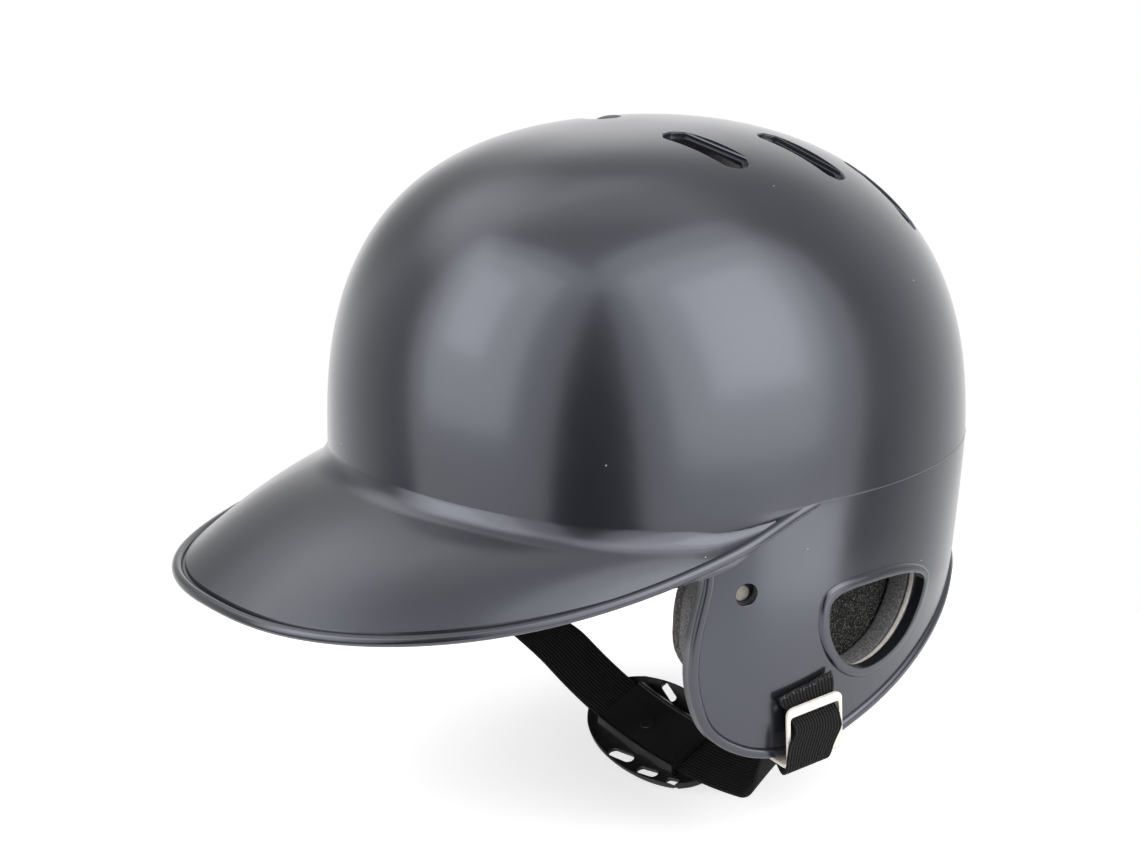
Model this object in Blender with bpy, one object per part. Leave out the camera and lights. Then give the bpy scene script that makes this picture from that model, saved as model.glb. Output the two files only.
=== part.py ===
# Batting helmet: a moulded shell with a brim and two ear flaps, a foam liner and a chin strap with a cup.
# Metres, +Z up. The wearer faces -Y, the left flap is at +X, and z = 0 is where the dome is widest.
from math import asin, atan2, cos, pi, radians, sin, sqrt

import bmesh
import bpy
from mathutils import Vector

# Shell: the dome is a superellipsoid, and the walls below it lean in towards the jaw
HALF_LENGTH = 0.122
HALF_WIDTH = 0.106
CROWN_HEIGHT = 0.117
CROWN_SHIFT = 0.0072
PLAN_POWER = 2.1
CROWN_POWER = 2.53
JAW_LEAN = 0.009
JAW_DEPTH = 0.100
JAW_POWER = 1.2
WALL = 0.0035

# Lower edge, in side view
BROW_FRONT_Z = 0.0005
BROW_TEMPLE_Z = -0.0125
BROW_CORNER_RISE = 0.0020
FLAP_FRONT_Y = -0.0505
FLAP_BOTTOM_Y = -0.012
FLAP_BOTTOM_Z = -0.0950
FLAP_REAR_Y = 0.0755
FLAP_REAR_Z = -0.0660
NAPE_Z = -0.0470
EDGE_BEAD_WIDTH = 0.0042
EDGE_BEAD_PROUD = 0.0014
EDGE_BEAD_OVERLAP = 0.0004

# Brim
BRIM_LENGTH = 0.182
BRIM_BACK_Y = -0.0024
BRIM_SIDE_OUT = 0.0024
BRIM_DROP = 0.0305
BRIM_THICK = 0.0030
BRIM_BEAD_RADIUS = 0.0020
BRIM_FILLET = 0.006
BRIM_CROWN = 0.0015
CREASE_FRONT_Z = 0.0053
CREASE_TEMPLE_Z = -0.0028
CREASE_TEMPLE_TURN = radians(68)

# Ear hole and the raised frame round it
EAR_Y = 0.0240
EAR_Z = -0.0440
EAR_FRONT = 0.0213
EAR_REAR = 0.0317
EAR_UP = 0.0088
EAR_DOWN = 0.0244
EAR_TOP_FRONT_POWER = 3.6
EAR_TOP_REAR_POWER = 2.0
EAR_LOWER_POWER = 1.85
EAR_FRAME_WIDTH = 0.0040
EAR_FRAME_PROUD = 0.0014
EAR_FRAME_OVERLAP = 0.0006

# Guard hole in each flap, with a flat seat round it
GUARD_Y = -0.0318
GUARD_Z = -0.0297
GUARD_RADIUS = 0.0040
GUARD_SEAT_RADIUS = 0.0066
GUARD_SEAT_DEPTH = 0.0004

# Crown vents on the left, mirrored to the right: centre x, centre y, turn towards the back
VENTS = (
    (0.0350, -0.0010, radians(14)),
    (0.0385, 0.0395, radians(26)),
    (0.0420, 0.0740, radians(38)),
)
VENT_LENGTH = 0.034
VENT_WIDTH = 0.0100
VENT_CHAMFER = 0.0036

# Liner
LINER_GAP = 0.0007
LAYER_GAP = 0.0004
IMPACT_THICK = 0.0120
COMFORT_THICK = 0.0080
EAR_BACKING_THICK = 0.0016
EAR_IMPACT_THICK = 0.0080
EAR_COMFORT_THICK = 0.0085
EAR_PAD_FRONT = 0.0704
EAR_PAD_REAR = 0.0392
EAR_PAD_UP = 0.0355
EAR_PAD_DOWN = 0.0340
EAR_PAD_POWER = 2.9
EAR_BACKING_INSET = 0.0040
EAR_COMFORT_INSET = 0.0005
EAR_PAD_HOLE_CLEARANCE = 0.0010
FRONT_PAD_ARC = radians(46)
FRONT_PAD_Z = (0.010, 0.064)
SIDE_PAD_ARC = (radians(60), radians(118))
SIDE_PAD_Z = (0.000, 0.070)
REAR_PAD_ARC = radians(42)
REAR_PAD_Z = (-0.028, 0.050)
CROWN_PAD_HALF_WIDTH = 0.0140
CROWN_PAD_Y = (-0.058, 0.052)

# Clip that hooks under the flap's edge
CLIP_Y = -0.0020
CLIP_WIDTH = 0.0245
CLIP_HEIGHT = 0.0197
CLIP_THICK = 0.0014
CLIP_TOP_BAR = 0.0035
CLIP_WINDOW_HEIGHT = 0.0087
CLIP_STAND_OFF = 0.0044
CLIP_HOOK_CLEARANCE = 0.0020
CLIP_HOOK_DEPTH = 0.0004
CLIP_HOOK_RISE = 0.0100
CLIP_BEND = 0.0027

# Webbing and the arc that it hangs in
WEB_WIDTH = 0.0200
WEB_THICK = 0.0016
WEB_GAP = 0.0004
WEB_TAIL = 0.0065
WEB_SPLIT_GAP = 0.0004
STRAP_RADIUS = 0.250
STRAP_LOW_X = 0.028
STRAP_LOW_Y = 0.0030
STRAP_LOW_Z = -0.1208
STRAP_TILT = radians(32)
STRAP_ARC_LEFT = 0.062
STRAP_ARC_RIGHT = 0.059

# Chin cup, measured along the strap, across it and off it
CUP_ALONG = 0.001
CUP_HALF_LENGTH = 0.0385
CUP_HALF_WIDTH = 0.0205
CUP_OUTLINE_POWER = 2.15
CUP_WALL = 0.0018
CUP_DISH = 0.0026
CUP_BAND_HALF = 0.0238
CUP_BAND_SIDE = 0.0014
CUP_RIB = 0.0014
CUP_RIB_AT = 0.0088
CUP_RIB_PROUD = 0.0012

# Slots through each of the cup's side flanges: place along the strap, length, width and turn towards the strap
CUP_SLOTS = (
    (-0.0077, 0.0115, 0.0042, radians(14)),
    (0.0083, 0.0095, 0.0034, radians(14)),
    (0.0215, 0.0062, 0.0026, radians(14)),
)

# Facet counts
SKULL_COLUMNS = 52
CROWN_ROWS = 11
JAW_ROWS = 5
BRIM_STATIONS = 25
EAR_STATIONS = 28
TINY = 1e-5


# Materials

def finish(name, colour, roughness, metallic=0.0):
    material = bpy.data.materials.new(name)
    material.use_nodes = True
    shader = material.node_tree.nodes["Principled BSDF"]
    shader.inputs["Base Color"].default_value = (*colour, 1.0)
    shader.inputs["Roughness"].default_value = roughness
    shader.inputs["Metallic"].default_value = metallic
    return material


def make_finishes():
    return {
        "shell": finish("gloss_black_shell", (0.035, 0.037, 0.043), 0.18),
        "impact": finish("grey_impact_foam", (0.11, 0.105, 0.105), 0.85),
        "comfort": finish("charcoal_comfort_foam", (0.06, 0.058, 0.058), 0.95),
        "backing": finish("pale_backing_sheet", (0.62, 0.58, 0.52), 0.8),
        "webbing": finish("black_webbing", (0.016, 0.016, 0.018), 0.8),
        "cup": finish("black_moulded_cup", (0.014, 0.014, 0.016), 0.5),
        "clip": finish("ivory_coated_metal", (0.82, 0.76, 0.68), 0.35, 0.4),
    }


# Dome surface

def smooth_ramp(value):
    value = max(0.0, min(1.0, value))
    return value * value * (3 - 2 * value)


def wall_scale(z):
    """Share of the plan that the wall keeps at height z."""
    if z >= 0:
        return (1 - min(z / CROWN_HEIGHT, 1.0) ** CROWN_POWER) ** (1 / CROWN_POWER)
    return 1 - JAW_LEAN / HALF_WIDTH * (-z / JAW_DEPTH) ** JAW_POWER


def crown_drift(z):
    """How far the dome leans forwards at height z."""
    return CROWN_SHIFT * max(0.0, min(z / CROWN_HEIGHT, 1.0)) ** 2


def dome_at(turn, z):
    """Outer point at a turn from the front towards the left, at height z."""
    across, along = sin(turn), cos(turn)
    shape = abs(across / HALF_WIDTH) ** PLAN_POWER + abs(along / HALF_LENGTH) ** PLAN_POWER
    reach = wall_scale(z) * shape ** (-1 / PLAN_POWER)
    return Vector((reach * across, -reach * along - crown_drift(z), z))


def side_at(y, z):
    """Outer point on the left, seen from the side at y and z."""
    scale = wall_scale(z)
    share = min(abs((y + crown_drift(z)) / (HALF_LENGTH * scale)), 1.0)
    return Vector((HALF_WIDTH * scale * (1 - share ** PLAN_POWER) ** (1 / PLAN_POWER), y, z))


def plan_share(x, y, z):
    along = abs((y + crown_drift(z)) / HALF_LENGTH)
    return (abs(x / HALF_WIDTH) ** PLAN_POWER + along ** PLAN_POWER) ** (1 / PLAN_POWER)


def level(p):
    """1 on the outer surface, less inside it."""
    share = plan_share(*p)
    if p.z < 0:
        return share / wall_scale(p.z)
    return (share ** CROWN_POWER + (p.z / CROWN_HEIGHT) ** CROWN_POWER) ** (1 / CROWN_POWER)


def crown_at(x, y):
    """Outer point on the crown above x and y."""
    low, high = 0.0, CROWN_HEIGHT
    while high - low > TINY / 10:
        middle = (low + high) / 2
        if plan_share(x, y, middle) < wall_scale(middle):
            low = middle
        else:
            high = middle
    return Vector((x, y, low))


def outward(p):
    steps = (Vector((TINY, 0, 0)), Vector((0, TINY, 0)), Vector((0, 0, TINY)))
    return Vector([level(p + step) - level(p - step) for step in steps]).normalized()


def sunk(p, depth):
    """The point this deep below an outer point."""
    return p - outward(p) * depth


def sunk_inboard(p, depth):
    """The point this deep below an outer point, reached without moving towards the back."""
    out = outward(p)
    way = Vector((out.x, max(out.y, 0.0), out.z))
    return p - way * (depth / way.dot(out))


# Curves

def curve_through(points, steps):
    """Points along a Catmull-Rom curve through these, steps to each span."""
    path = [Vector(p) for p in points]
    path = [2 * path[0] - path[1]] + path + [2 * path[-1] - path[-2]]
    found = []
    for i in range(1, len(path) - 2):
        a, b, c, d = path[i - 1:i + 3]
        for k in range(steps):
            s = k / steps
            bend = (2 * a - 5 * b + 4 * c - d) * s * s + (3 * b - a - 3 * c + d) * s ** 3
            found.append(0.5 * (2 * b + (c - a) * s + bend))
    return found + [path[-2]]


def lower_edge(steps):
    """The shell's lower edge in side view, front to back, as (y, z)."""
    drop = FLAP_BOTTOM_Z - BROW_TEMPLE_Z
    rise = FLAP_REAR_Z - FLAP_BOTTOM_Z
    run = FLAP_REAR_Y - FLAP_BOTTOM_Y
    front = FLAP_BOTTOM_Y - FLAP_FRONT_Y
    beyond = HALF_LENGTH - FLAP_REAR_Y
    return curve_through((
        (-HALF_LENGTH * 1.1, BROW_FRONT_Z),
        (FLAP_FRONT_Y * 2.0, BROW_FRONT_Z + (BROW_TEMPLE_Z - BROW_FRONT_Z) * 0.35),
        (FLAP_FRONT_Y - front * 0.30, BROW_TEMPLE_Z + BROW_CORNER_RISE),
        (FLAP_FRONT_Y + front * 0.02, BROW_TEMPLE_Z + drop * 0.03),
        (FLAP_FRONT_Y + front * 0.08, BROW_TEMPLE_Z + drop * 0.13),
        (FLAP_FRONT_Y, BROW_TEMPLE_Z + drop * 0.40),
        (FLAP_FRONT_Y + front * 0.02, BROW_TEMPLE_Z + drop * 0.62),
        (FLAP_FRONT_Y + front * 0.19, BROW_TEMPLE_Z + drop * 0.83),
        (FLAP_FRONT_Y + front * 0.55, BROW_TEMPLE_Z + drop * 0.955),
        (FLAP_BOTTOM_Y, FLAP_BOTTOM_Z),
        (FLAP_BOTTOM_Y + run * 0.19, FLAP_BOTTOM_Z + rise * 0.05),
        (FLAP_BOTTOM_Y + run * 0.33, FLAP_BOTTOM_Z + rise * 0.17),
        (FLAP_BOTTOM_Y + run * 0.62, FLAP_BOTTOM_Z + rise * 0.49),
        (FLAP_REAR_Y, FLAP_REAR_Z),
        (FLAP_REAR_Y + beyond * 0.55, FLAP_REAR_Z + (NAPE_Z - FLAP_REAR_Z) * 0.68),
        (HALF_LENGTH * 1.1, NAPE_Z),
    ), steps)


def edge_height(y, edge):
    """Height of the lower edge at y, behind the flap's lowest point."""
    for (y0, z0), (y1, z1) in zip(edge, edge[1:]):
        if y0 >= FLAP_BOTTOM_Y and y0 <= y <= y1:
            return z0 + (z1 - z0) * (y - y0) / (y1 - y0)
    return edge[-1][1]


def oval_place(angle, power):
    """A place on a unit oval, squarer as its power grows."""
    along = abs(cos(angle)) ** (2 / power) * (1 if cos(angle) > 0 else -1)
    up = abs(sin(angle)) ** (2 / power) * (1 if sin(angle) > 0 else -1)
    return along, up


def ear_outline(spread, count):
    """The ear hole's outline in side view, grown by spread: a flat top and a deep round lower edge."""
    found = []
    for i in range(count):
        a = 2 * pi * (i + 0.5) / count
        reach = EAR_REAR if cos(a) > 0 else EAR_FRONT
        height = EAR_UP if sin(a) > 0 else EAR_DOWN
        power = EAR_LOWER_POWER
        if sin(a) > 0:
            power = EAR_TOP_REAR_POWER if cos(a) > 0 else EAR_TOP_FRONT_POWER
        along, up = oval_place(a, power)
        found.append((EAR_Y + (reach + spread) * along, EAR_Z + (height + spread) * up))
    return found


def ear_pad_outline(shrink, count):
    """The ear pad's outline in side view, round the ear hole's centre."""
    found = []
    for i in range(count):
        a = 2 * pi * (i + 0.5) / count
        reach = (EAR_PAD_REAR if cos(a) > 0 else EAR_PAD_FRONT) - shrink
        height = (EAR_PAD_UP if sin(a) > 0 else EAR_PAD_DOWN) - shrink
        along, up = oval_place(a, EAR_PAD_POWER)
        found.append((EAR_Y + reach * along, EAR_Z + height * up))
    return found


# Mesh helpers

def add_object(name, bm, material=None):
    bmesh.ops.recalc_face_normals(bm, faces=bm.faces)
    mesh = bpy.data.meshes.new(name)
    bm.to_mesh(mesh)
    bm.free()
    made = bpy.data.objects.new(name, mesh)
    bpy.context.collection.objects.link(made)
    if material:
        mesh.materials.append(material)
        mesh.shade_smooth()
        mesh.set_sharp_from_angle(angle=radians(40))
    else:
        made.hide_render = True
        made.display_type = "WIRE"
    return made


def loft(rings, looped=False, capped=True):
    """A skin over closed rings of points, closed on itself or capped at both ends."""
    bm = bmesh.new()
    rows = [[bm.verts.new(p) for p in ring] for ring in rings]
    pairs = list(zip(rows, rows[1:]))
    if looped:
        pairs.append((rows[-1], rows[0]))
    for low, high in pairs:
        for i in range(len(low)):
            j = (i + 1) % len(low)
            bm.faces.new((low[i], low[j], high[j], high[i]))
    if capped and not looped:
        bm.faces.new(rows[0])
        bm.faces.new(rows[-1])
    return bm


def skin_grid(bm, near, far, columns, rows):
    """Faces over two like grids of corners, with the same diagonals, and round their rim."""
    across = columns + 1
    for j in range(rows):
        for i in range(columns):
            k = j * across + i
            for half in ((k, k + 1, k + 1 + across), (k, k + 1 + across, k + across)):
                bm.faces.new([near[n] for n in half])
                bm.faces.new([far[n] for n in reversed(half)])
    rim = [i for i in range(across)] + [j * across + columns for j in range(1, rows + 1)]
    rim += [rows * across + i for i in range(columns - 1, -1, -1)]
    rim += [j * across for j in range(rows - 1, 0, -1)]
    for k, n in zip(rim, rim[1:] + rim[:1]):
        bm.faces.new((near[k], far[k], far[n], near[n]))


def prism(outline, low, high):
    """An outline's points set at two levels by the given functions and joined."""
    return loft([[low(p) for p in outline], [high(p) for p in outline]])


def mirrored(points):
    return [Vector((-p.x, p.y, p.z)) for p in points]


def cut(target, cutter, operation="DIFFERENCE"):
    step = target.modifiers.new(cutter.name, "BOOLEAN")
    step.operation = operation
    step.object = cutter


# Shell

def make_dome():
    bm = bmesh.new()
    bottom = FLAP_BOTTOM_Z - EDGE_BEAD_WIDTH
    heights = [bottom * (1 - i / JAW_ROWS) for i in range(JAW_ROWS)]
    for i in range(CROWN_ROWS):
        heights.append(CROWN_HEIGHT * sin(pi / 2 * i / CROWN_ROWS) ** (2 / CROWN_POWER))
    turns = [2 * pi * i / SKULL_COLUMNS for i in range(SKULL_COLUMNS)]
    rows = [[bm.verts.new(dome_at(t, z)) for t in turns] for z in heights]
    for low, high in zip(rows, rows[1:]):
        for i in range(SKULL_COLUMNS):
            j = (i + 1) % SKULL_COLUMNS
            bm.faces.new((low[i], low[j], high[j], high[i]))
    top = bm.verts.new((0, -CROWN_SHIFT, CROWN_HEIGHT))
    for i in range(SKULL_COLUMNS):
        bm.faces.new((rows[-1][i], rows[-1][(i + 1) % SKULL_COLUMNS], top))
    return bm


def brim_edge(turn):
    """The brim's edge, from the front centre (0) to the temples (a quarter turn)."""
    out = BRIM_SIDE_OUT - (BRIM_SIDE_OUT + BRIM_BEAD_RADIUS) * smooth_ramp((abs(turn) - 1.31) / 0.24)
    x = (HALF_WIDTH + out) * abs(sin(turn)) ** 0.8
    y = BRIM_BACK_Y - BRIM_LENGTH * max(cos(turn), 0.0) ** 0.9
    z = -BRIM_DROP * (1 - (1 - cos(turn)) ** 2.3)
    return Vector((x if turn > 0 else -x, y, z))


def brim_crease(turn):
    """Where the brim's fillet leaves the wall: high at the brow, low at the temples."""
    swing = cos(pi * min(abs(turn) / CREASE_TEMPLE_TURN, 1.0))
    return dome_at(turn, (CREASE_FRONT_Z * (1 + swing) + CREASE_TEMPLE_Z * (1 - swing)) / 2)


def brim_section(station):
    edge = brim_edge(station)
    turn = atan2(edge.x, -edge.y)
    start = brim_crease(turn)
    stand_out = edge.xy.length - dome_at(turn, edge.z).xy.length
    fillet = min(BRIM_FILLET, (edge - start).length * 0.45, stand_out * 0.8)
    join = smooth_ramp((abs(turn) - 1.05) / 0.25)
    root_z = (start.z - fillet) * (1 - join) + (edge.z + BRIM_THICK / 2) * join
    root = dome_at(turn, root_z)
    start = dome_at(turn, root_z + fillet)
    span = edge - root
    slope = span.normalized()
    blend = root + slope * fillet
    up = Vector((0, 0, 1))
    crown = min(BRIM_CROWN, span.length * 0.06)
    under_thick = BRIM_THICK + BRIM_BEAD_RADIUS * smooth_ramp((abs(turn) - 0.9) / 0.3)
    top = [sunk(start, WALL / 2) + up * fillet * 0.3, start]
    for s in (0.3, 0.6):
        top.append(start * (1 - s) ** 2 + root * 2 * s * (1 - s) + blend * s * s)
    for s in (0.0, 0.4, 0.75):
        along = fillet + (span.length - fillet) * s
        top.append(root + slope * along + up * crown * sin(pi * along / span.length))
    top.append(edge + up * BRIM_THICK / 2)
    under = [edge + up * (BRIM_THICK / 2 - under_thick)]
    for s in (0.75, 0.4):
        along = fillet + (span.length - fillet) * s
        under.append(root + slope * along + up * (crown * sin(pi * along / span.length) - under_thick))
    under.append(sunk(root, WALL / 2) - up * under_thick)
    return top + under


def brim_limit():
    """The last station where the brim's edge still stands out of the wall."""
    station = pi / 2
    stand_out = 0.0
    while stand_out < BRIM_BEAD_RADIUS * 0.7:
        station -= radians(0.5)
        edge = brim_edge(station)
        wall = dome_at(atan2(edge.x, -edge.y), edge.z)
        stand_out = edge.xy.length - wall.xy.length
    return station


def make_brim():
    limit = brim_limit()
    turns = [limit * (2 * i / (BRIM_STATIONS - 1) - 1) for i in range(BRIM_STATIONS)]
    return loft([brim_section(t) for t in turns])


def tube(path, radius, sides=8):
    rings = []
    for i, p in enumerate(path):
        along = (path[min(i + 1, len(path) - 1)] - path[max(i - 1, 0)]).normalized()
        across = along.cross(Vector((0, 0, 1))).normalized()
        lift = across.cross(along)
        angles = [2 * pi * k / sides for k in range(sides)]
        rings.append([p + (across * cos(a) + lift * sin(a)) * radius for a in angles])
    return loft(rings)


def make_brim_bead():
    limit = radians(88)
    count = BRIM_STATIONS + 10
    return tube([brim_edge(limit * (2 * i / (count - 1) - 1)) for i in range(count)], BRIM_BEAD_RADIUS)


def edge_path():
    """The lower edge on the shell's outer face, from the left temple round the back to the right one."""
    edge = lower_edge(2)
    start = next(i for i, p in enumerate(edge) if p.x > FLAP_FRONT_Y and p.y < BROW_TEMPLE_Z)
    left = [side_at(*p) for p in edge[start:] if p.x < EAR_Y]
    turn = atan2(left[-1].x, -left[-1].y)
    count = 11
    for i in range(1, count + 1):
        step = turn + (pi - turn) * i / count
        z = left[-1].z
        for _ in range(6):
            z = edge_height(dome_at(step, z).y, edge)
        left.append(dome_at(step, z))
    return left + mirrored(left[-2::-1])


def make_edge_bead():
    path = edge_path()
    rings = []
    for i, p in enumerate(path):
        along = (path[min(i + 1, len(path) - 1)] - path[max(i - 1, 0)]).normalized()
        out = outward(p)
        inner = along.cross(out).normalized()
        centre = p - out * WALL / 2 - inner * (EDGE_BEAD_WIDTH / 2 - EDGE_BEAD_OVERLAP)
        ring = []
        for k in range(8):
            a = 2 * pi * (k + 0.5) / 8
            reach = out * cos(a) * (WALL / 2 + EDGE_BEAD_PROUD) + inner * sin(a) * EDGE_BEAD_WIDTH / 2
            ring.append(centre + reach / cos(pi / 8))
        rings.append(ring)
    return loft(rings)


def make_edge_cutter():
    edge = [tuple(p) for p in lower_edge(4)]
    floor = FLAP_BOTTOM_Z * 2
    outline = edge + [(edge[-1][0], floor), (edge[0][0], floor)]
    reach = HALF_WIDTH * 1.5
    return prism(outline, lambda p: Vector((-reach, *p)), lambda p: Vector((reach, *p)))


def flap_cutter(outline, depth):
    """A prism through the left flap along X."""
    inner, outer = HALF_WIDTH - depth, HALF_WIDTH * 1.3
    return prism(outline, lambda p: Vector((inner, *p)), lambda p: Vector((outer, *p)))


def make_ear_frame():
    profile = (
        (-EAR_FRAME_OVERLAP, -WALL / 2),
        (-EAR_FRAME_OVERLAP, EAR_FRAME_PROUD * 0.8),
        (EAR_FRAME_WIDTH * 0.25, EAR_FRAME_PROUD),
        (EAR_FRAME_WIDTH * 0.75, EAR_FRAME_PROUD),
        (EAR_FRAME_WIDTH, -WALL / 2),
    )
    rows = []
    for spread, height in profile:
        rows.append([sunk(side_at(*p), -height) for p in ear_outline(spread, EAR_STATIONS)])
    return loft([list(ring) for ring in zip(*rows)], looped=True)


def disc_cutter(centre, axis, radius, low, high, sides=24):
    across = axis.cross(Vector((0, 0, 1))).normalized()
    lift = axis.cross(across)
    outline = [(radius * cos(2 * pi * k / sides), radius * sin(2 * pi * k / sides)) for k in range(sides)]
    return prism(
        outline,
        lambda p: centre + across * p[0] + lift * p[1] + axis * low,
        lambda p: centre + across * p[0] + lift * p[1] + axis * high,
    )


def make_vent(x, y, turn):
    centre = crown_at(x, y)
    axis = outward(centre)
    along = Vector((cos(turn), sin(turn), 0))
    along = (along - axis * along.dot(axis)).normalized()
    across = axis.cross(along)
    a, b, c = VENT_LENGTH / 2, VENT_WIDTH / 2, VENT_CHAMFER
    corners = ((a, b - c), (a - c, b), (c - a, b), (-a, b - c), (-a, c - b), (c - a, -b), (a - c, -b), (a, c - b))
    depth = WALL * 3
    return prism(
        corners,
        lambda p: centre + along * p[0] + across * p[1] - axis * depth,
        lambda p: centre + along * p[0] + across * p[1] + axis * depth,
    )


def both_sides(name, make):
    """A left and a right copy of a helper body."""
    left = make()
    right = left.copy()
    for v in right.verts:
        v.co.x = -v.co.x
    return add_object(f"left_{name}", left), add_object(f"right_{name}", right)


def make_shell(material):
    shell = add_object("shell", make_dome(), material)
    wall = shell.modifiers.new("wall", "SOLIDIFY")
    wall.thickness = WALL
    wall.offset = -1
    wall.use_even_offset = True
    cut(shell, add_object("edge_cutter", make_edge_cutter()))
    cut(shell, add_object("edge_bead", make_edge_bead()), "UNION")
    cut(shell, add_object("brim", make_brim()), "UNION")
    cut(shell, add_object("brim_bead", make_brim_bead()), "UNION")
    for helper in both_sides("ear_frame", make_ear_frame):
        cut(shell, helper, "UNION")
    hole = ear_outline(0.0, EAR_STATIONS)
    for helper in both_sides("ear_hole", lambda: flap_cutter(hole, WALL * 10)):
        cut(shell, helper)
    centre = side_at(GUARD_Y, GUARD_Z)
    axis = outward(centre)
    top = WALL
    seat = lambda: disc_cutter(centre, axis, GUARD_SEAT_RADIUS, -GUARD_SEAT_DEPTH, top)
    bore = lambda: disc_cutter(centre, axis, GUARD_RADIUS, -WALL * 3, top * 1.5)
    for helper in both_sides("guard_seat", seat) + both_sides("guard_hole", bore):
        cut(shell, helper)
    for number, vent in enumerate(VENTS):
        for helper in both_sides(f"vent_{number}", lambda: make_vent(*vent)):
            cut(shell, helper)
    return shell


# Liner pads

def pad_grid(columns, rows):
    """Grid places from -1 to 1 with the corners drawn in, each with its share of the way to the rim."""
    places = []
    for j in range(rows + 1):
        for i in range(columns + 1):
            a, b = 2 * i / columns - 1, 2 * j / rows - 1
            places.append((a * sqrt(1 - 0.16 * b * b), b * sqrt(1 - 0.16 * a * a), max(abs(a), abs(b))))
    return places


def pad_layer(at, columns, rows, near, thick, crowned):
    """A pad between two depths below the dome, with its free face crowned towards the middle."""
    bm = bmesh.new()
    outer, inner = [], []
    for a, b, rim in pad_grid(columns, rows):
        p = at(a, b)
        share = 0.55 + 0.45 * sqrt(1 - rim ** 4) if crowned else 1.0
        outer.append(bm.verts.new(sunk(p, near)))
        inner.append(bm.verts.new(sunk(p, near + thick * share)))
    skin_grid(bm, outer, inner, columns, rows)
    return bm


def make_pad(place, at, columns, rows, finishes):
    near = WALL + LINER_GAP
    impact = pad_layer(at, columns, rows, near, IMPACT_THICK, False)
    add_object(f"{place}_impact_pad", impact, finishes["impact"])
    near += IMPACT_THICK + LAYER_GAP
    comfort = pad_layer(at, columns, rows, near, COMFORT_THICK, True)
    add_object(f"{place}_comfort_pad", comfort, finishes["comfort"])


def wall_patch(middle, half_arc, heights):
    """Places on the dome's wall about a turn, between two heights."""
    low, high = heights
    return lambda a, b: dome_at(middle + half_arc * a, (low + high) / 2 + (high - low) / 2 * b)


def make_liner(finishes):
    make_pad("front", wall_patch(0.0, FRONT_PAD_ARC, FRONT_PAD_Z), 9, 4, finishes)
    make_pad("rear", wall_patch(pi, REAR_PAD_ARC, REAR_PAD_Z), 9, 5, finishes)
    first, last = SIDE_PAD_ARC
    for place, side in (("left", 1), ("right", -1)):
        patch = wall_patch(side * (first + last) / 2, (last - first) / 2, SIDE_PAD_Z)
        make_pad(f"{place}_side", patch, 6, 5, finishes)
    front, back = CROWN_PAD_Y
    crown = lambda a, b: crown_at(CROWN_PAD_HALF_WIDTH * a, (front + back) / 2 + (back - front) / 2 * b)
    make_pad("crown", crown, 3, 8, finishes)


def ring_layer(near, thick, inset):
    """A ring round the ear hole, between two depths below the flap's outer face."""
    hole = ear_outline(EAR_PAD_HOLE_CLEARANCE, EAR_STATIONS)
    rim = ear_pad_outline(inset, EAR_STATIONS)
    steps = (0, 1 / 3, 2 / 3, 1)
    rings = []
    for (y0, z0), (y1, z1) in zip(hole, rim):
        line = [side_at(y0 + (y1 - y0) * s, z0 + (z1 - z0) * s) for s in steps]
        upper = [sunk_inboard(p, near) for p in line]
        rings.append(upper + [sunk_inboard(p, near + thick) for p in reversed(line)])
    return loft(rings, looped=True)


def dish_layer(near, thick):
    """A whole foam pad over the ear hole, crowned on its free face."""
    bm = bmesh.new()
    rim = ear_pad_outline(EAR_COMFORT_INSET, EAR_STATIONS)
    faces = []
    for free in (False, True):
        rows = []
        for s in (1, 0.86, 0.6, 0.3):
            share = 0.5 + 0.5 * sqrt(1 - s ** 4) if free else 0.0
            line = [side_at(EAR_Y + (y - EAR_Y) * s, EAR_Z + (z - EAR_Z) * s) for y, z in rim]
            rows.append([bm.verts.new(sunk_inboard(p, near + thick * share)) for p in line])
        for low, high in zip(rows, rows[1:]):
            for i in range(EAR_STATIONS):
                j = (i + 1) % EAR_STATIONS
                bm.faces.new((low[i], low[j], high[j], high[i]))
        middle = bm.verts.new(sunk(side_at(EAR_Y, EAR_Z), near + thick * (1.0 if free else 0.0)))
        for i in range(EAR_STATIONS):
            bm.faces.new((rows[-1][i], rows[-1][(i + 1) % EAR_STATIONS], middle))
        faces.append(rows[0])
    for i in range(EAR_STATIONS):
        j = (i + 1) % EAR_STATIONS
        bm.faces.new((faces[0][i], faces[0][j], faces[1][j], faces[1][i]))
    return bm


def make_ear_pads(finishes):
    backing = WALL + LINER_GAP
    impact = backing + EAR_BACKING_THICK + LAYER_GAP
    comfort = impact + EAR_IMPACT_THICK + LAYER_GAP
    layers = (
        ("ear_backing", "backing", lambda: ring_layer(backing, EAR_BACKING_THICK, EAR_BACKING_INSET)),
        ("ear_impact_ring", "impact", lambda: ring_layer(impact, EAR_IMPACT_THICK, 0.0)),
        ("ear_comfort_pad", "comfort", lambda: dish_layer(comfort, EAR_COMFORT_THICK)),
    )
    for name, kind, make in layers:
        for place, side in (("left", 1), ("right", -1)):
            bm = make()
            for v in bm.verts:
                v.co.x *= side
            add_object(f"{place}_{name}", bm, finishes[kind])


# Clip and webbing end, in a frame on the flap's edge: back along it, up the wall and out of it

def clip_frame():
    edge = lower_edge(6)
    reach = CLIP_WIDTH / 6
    slope = (edge_height(CLIP_Y + reach, edge) - edge_height(CLIP_Y - reach, edge)) / (2 * reach)
    base = side_at(CLIP_Y, edge_height(CLIP_Y, edge) - EDGE_BEAD_OVERLAP)
    out = outward(base)
    back = Vector((0, 1, slope))
    back = (back - out * back.dot(out)).normalized()
    return base, back, out.cross(back), out


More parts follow.
